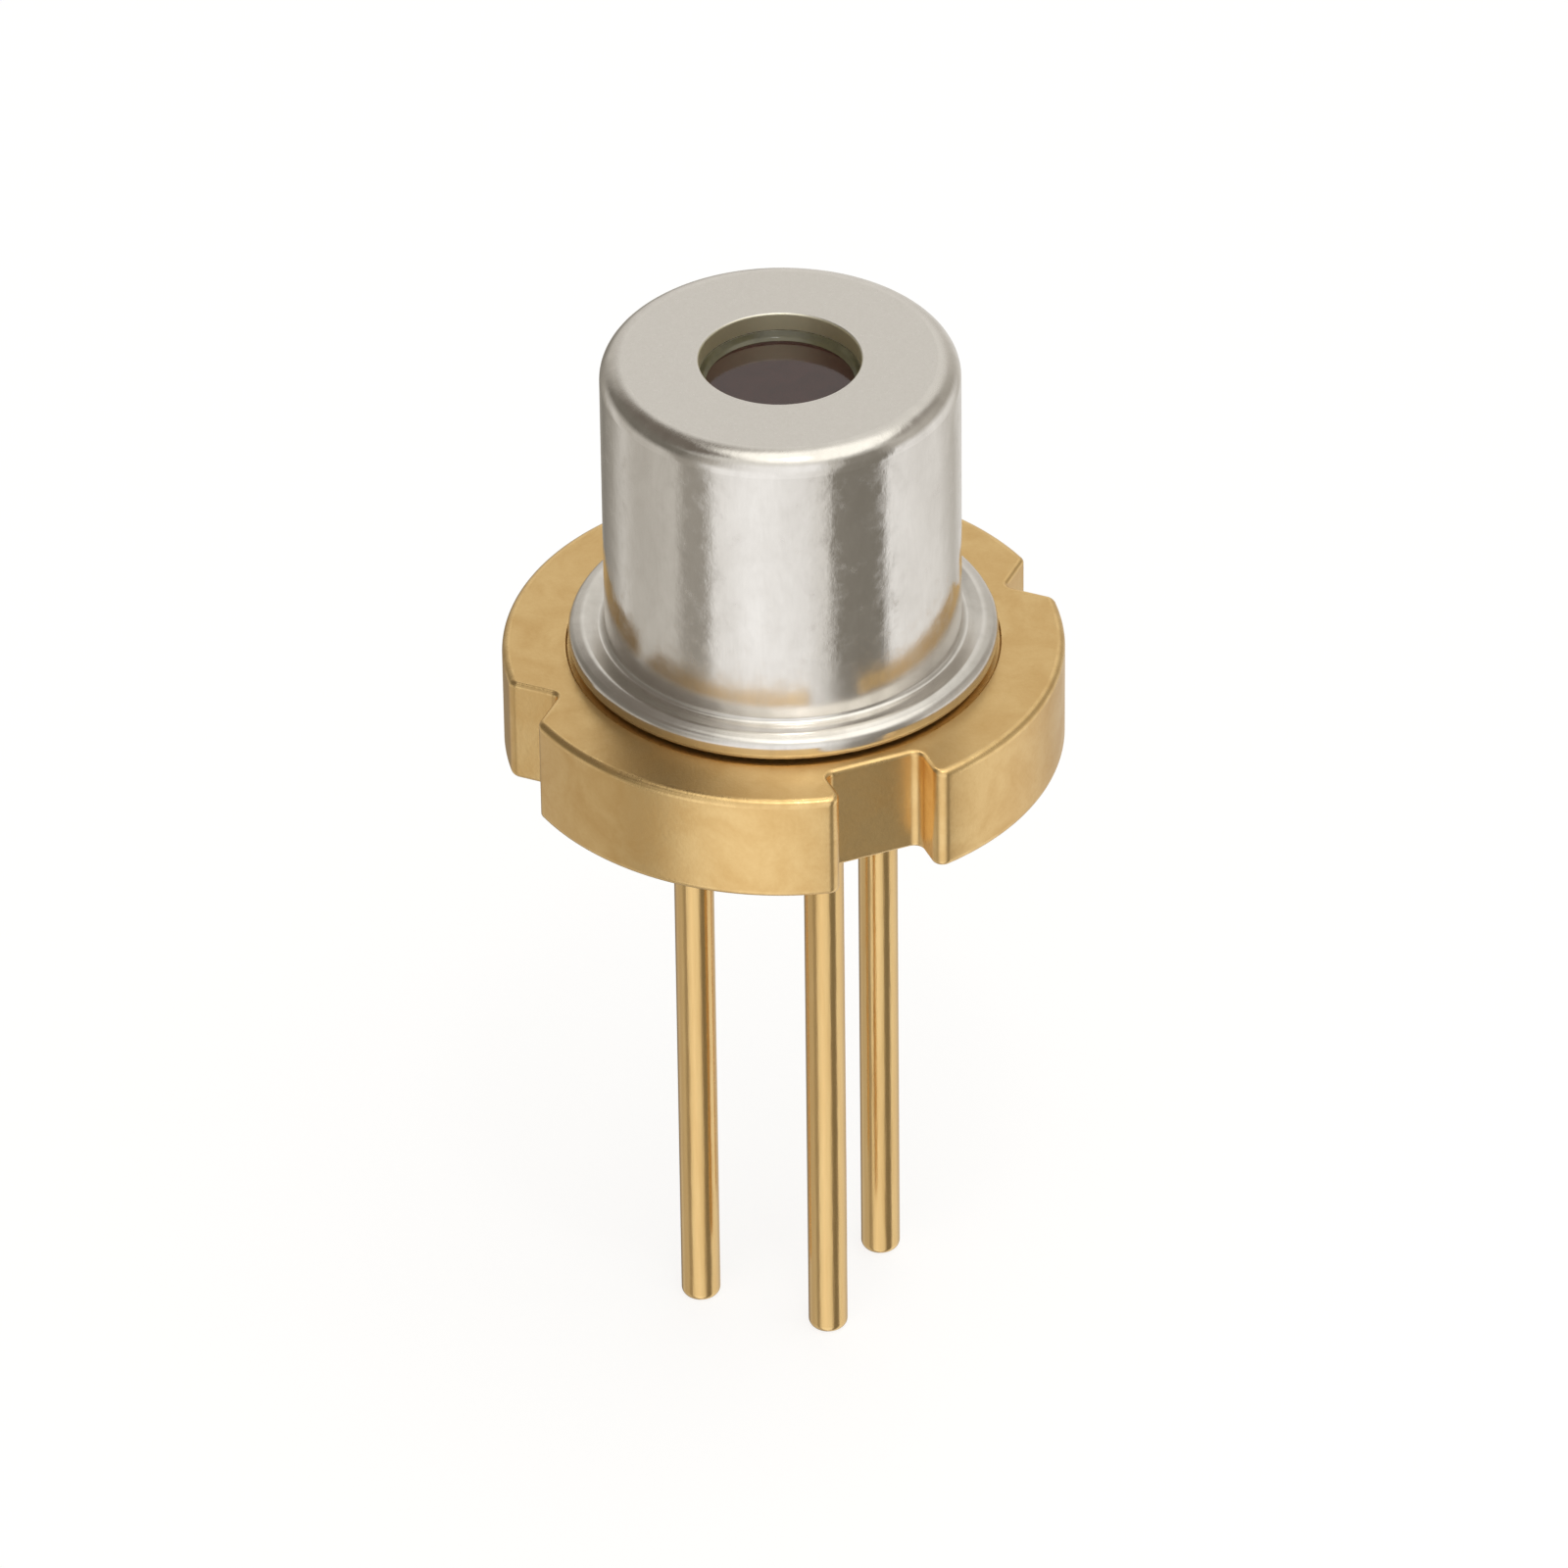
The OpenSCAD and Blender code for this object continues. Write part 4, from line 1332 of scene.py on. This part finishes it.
def studio_light(azimuth):
    """World light: white to the camera, and soft bright and dark panels around the object for its metal."""
    world = bpy.data.worlds.new("studio_light")
    bpy.context.scene.world = world
    world.use_nodes = True
    tree = world.node_tree
    tree.nodes.clear()
    way = put(tree, "ShaderNodeTexCoord").outputs["Generated"]
    turned = put(tree, "ShaderNodeVectorRotate", {"Vector": way}, rotation_type="Z_AXIS")
    turned.inputs["Angle"].default_value = -math.radians(azimuth)
    turned = turned.outputs[0]
    parts = put(tree, "ShaderNodeSeparateXYZ", {0: turned}).outputs
    around = maths(tree, "ARCTAN2", parts[0], maths(tree, "MULTIPLY", parts[1], -1.0))
    share = spread(tree, around, -math.pi, math.pi, 0.0, 1.0)
    sky = rgba(SKY)
    for turn, rise, full, end, level in PANELS:
        sky = blend(tree, panel(tree, turned, turn, rise, full, end), sky, rgba(level))
    raised = spread(tree, parts[2], -0.2, 0.14, 0.0, 1.0)
    walls = blend(tree, raised, ramp(tree, share, LOW_LIGHT), ramp(tree, share, MIDDLE_LIGHT))
    panels = blend(tree, spread(tree, parts[2], 0.40, 0.72, 0.0, 1.0), walls, sky)
    rays = put(tree, "ShaderNodeLightPath").outputs
    seen = blend(tree, rays["Is Camera Ray"], panels, (1.0, 1.0, 1.0, 1.0))
    light = put(tree, "ShaderNodeBackground", {"Color": seen, "Strength": 1.0})
    put(tree, "ShaderNodeOutputWorld", {0: light.outputs[0]})


def direction(azimuth, elevation):
    """Way from the object towards an azimuth and an elevation in degrees."""
    a, e = math.radians(azimuth), math.radians(elevation)
    return Vector((math.sin(a) * math.cos(e), -math.cos(a) * math.cos(e), math.sin(e)))


def soft_lamp(name, azimuth, elevation, distance, size, power):
    """A square soft lamp that faces the object."""
    data = bpy.data.lights.new(name, "AREA")
    data.shape = "SQUARE"
    data.size = size
    data.energy = power
    lamp = bpy.data.objects.new(name, data)
    bpy.context.scene.collection.objects.link(lamp)
    way = direction(azimuth, elevation)
    lamp.location = way * distance
    lamp.rotation_euler = (-way).to_track_quat("-Z", "Y").to_euler()


class StageSizes(bpy.types.PropertyGroup):
    """Where the camera stands."""

    azimuth: angle("Azimuth", "Camera's turn around the object", -21.96)
    elevation: angle("Elevation", "Camera's height angle", 34.9)
    roll: angle("Roll", "Camera's roll", 0.705)
    distance: length("Distance", "Distance of the camera", 123.46 * MM)
    aim: length("Aim", "How far below the flange's top face the camera aims", 1.77 * MM)
    aside: length("Aside", "How far to the left of the optical axis the camera aims", 0.012 * MM)
    lens: bpy.props.FloatProperty(name="Lens", description="Focal length in millimetres", default=285.1)


class LASERDIODE_OT_stage(bpy.types.Operator):
    """Set the floor, the light and the camera"""

    bl_idname = "laserdiode.stage"
    bl_label = "Stage"

    def execute(self, context):
        scene = context.scene
        sizes = scene.laser_diode_stage
        azimuth, elevation = math.degrees(sizes.azimuth), math.degrees(sizes.elevation)
        studio_floor(CAD_BOX[0][2])
        studio_light(azimuth)
        soft_lamp("key_lamp", azimuth + 10.0, 66.0, 0.12, 0.014, 0.006)
        scene.view_settings.view_transform = "Standard"
        data = bpy.data.cameras.new("studio_camera")
        data.sensor_width = 36.0
        data.lens = sizes.lens
        data.clip_start = 0.001
        data.clip_end = 10.0
        camera = bpy.data.objects.new("studio_camera", data)
        scene.collection.objects.link(camera)
        camera.location = direction(azimuth, elevation) * sizes.distance
        left = Vector((-math.cos(sizes.azimuth), -math.sin(sizes.azimuth), 0.0))
        look = Vector((0.0, 0.0, -sizes.aim)) + sizes.aside * left - camera.location
        turn = look.to_track_quat("-Z", "Y") @ Matrix.Rotation(-sizes.roll, 3, "Z").to_quaternion()
        camera.rotation_euler = turn.to_euler()
        scene.camera = camera
        return {"FINISHED"}


class LASERDIODE_PT_pieces(bpy.types.Panel):
    """Lists the laser diode's pieces in the sidebar"""

    bl_idname = "LASERDIODE_PT_pieces"
    bl_label = "Laser Diode"
    bl_space_type = "VIEW_3D"
    bl_region_type = "UI"
    bl_category = "Laser Diode"

    def draw(self, context):
        for operator in OPERATORS:
            self.layout.operator(operator.bl_idname)


OPERATORS = (
    LASERDIODE_OT_stem,
    LASERDIODE_OT_leads,
    LASERDIODE_OT_cap,
    LASERDIODE_OT_window,
    LASERDIODE_OT_seals,
    LASERDIODE_OT_wires,
    LASERDIODE_OT_inside,
    LASERDIODE_OT_stage,
)
SETTINGS = {
    "laser_diode_stem": StemSizes,
    "laser_diode_leads": LeadSizes,
    "laser_diode_cap": CapSizes,
    "laser_diode_window": WindowSizes,
    "laser_diode_colours": FinishColours,
    "laser_diode_stage": StageSizes,
}


def register():
    """Makes the settings, the operators and the panel known."""
    for name, group in SETTINGS.items():
        bpy.utils.register_class(group)
        setattr(bpy.types.Scene, name, bpy.props.PointerProperty(type=group))
    for operator in OPERATORS:
        bpy.utils.register_class(operator)
    bpy.utils.register_class(LASERDIODE_PT_pieces)


def unregister():
    """Takes them away again."""
    bpy.utils.unregister_class(LASERDIODE_PT_pieces)
    for operator in reversed(OPERATORS):
        bpy.utils.unregister_class(operator)
    for name, group in reversed(SETTINGS.items()):
        delattr(bpy.types.Scene, name)
        bpy.utils.unregister_class(group)


def main():
    """Builds every piece and the stage."""
    register()
    bpy.ops.laserdiode.stem()
    bpy.ops.laserdiode.leads()
    bpy.ops.laserdiode.cap()
    bpy.ops.laserdiode.window()
    bpy.ops.laserdiode.seals()
    bpy.ops.laserdiode.wires()
    bpy.ops.laserdiode.inside()
    bpy.ops.laserdiode.stage()


if __name__ == "__main__":
    main()
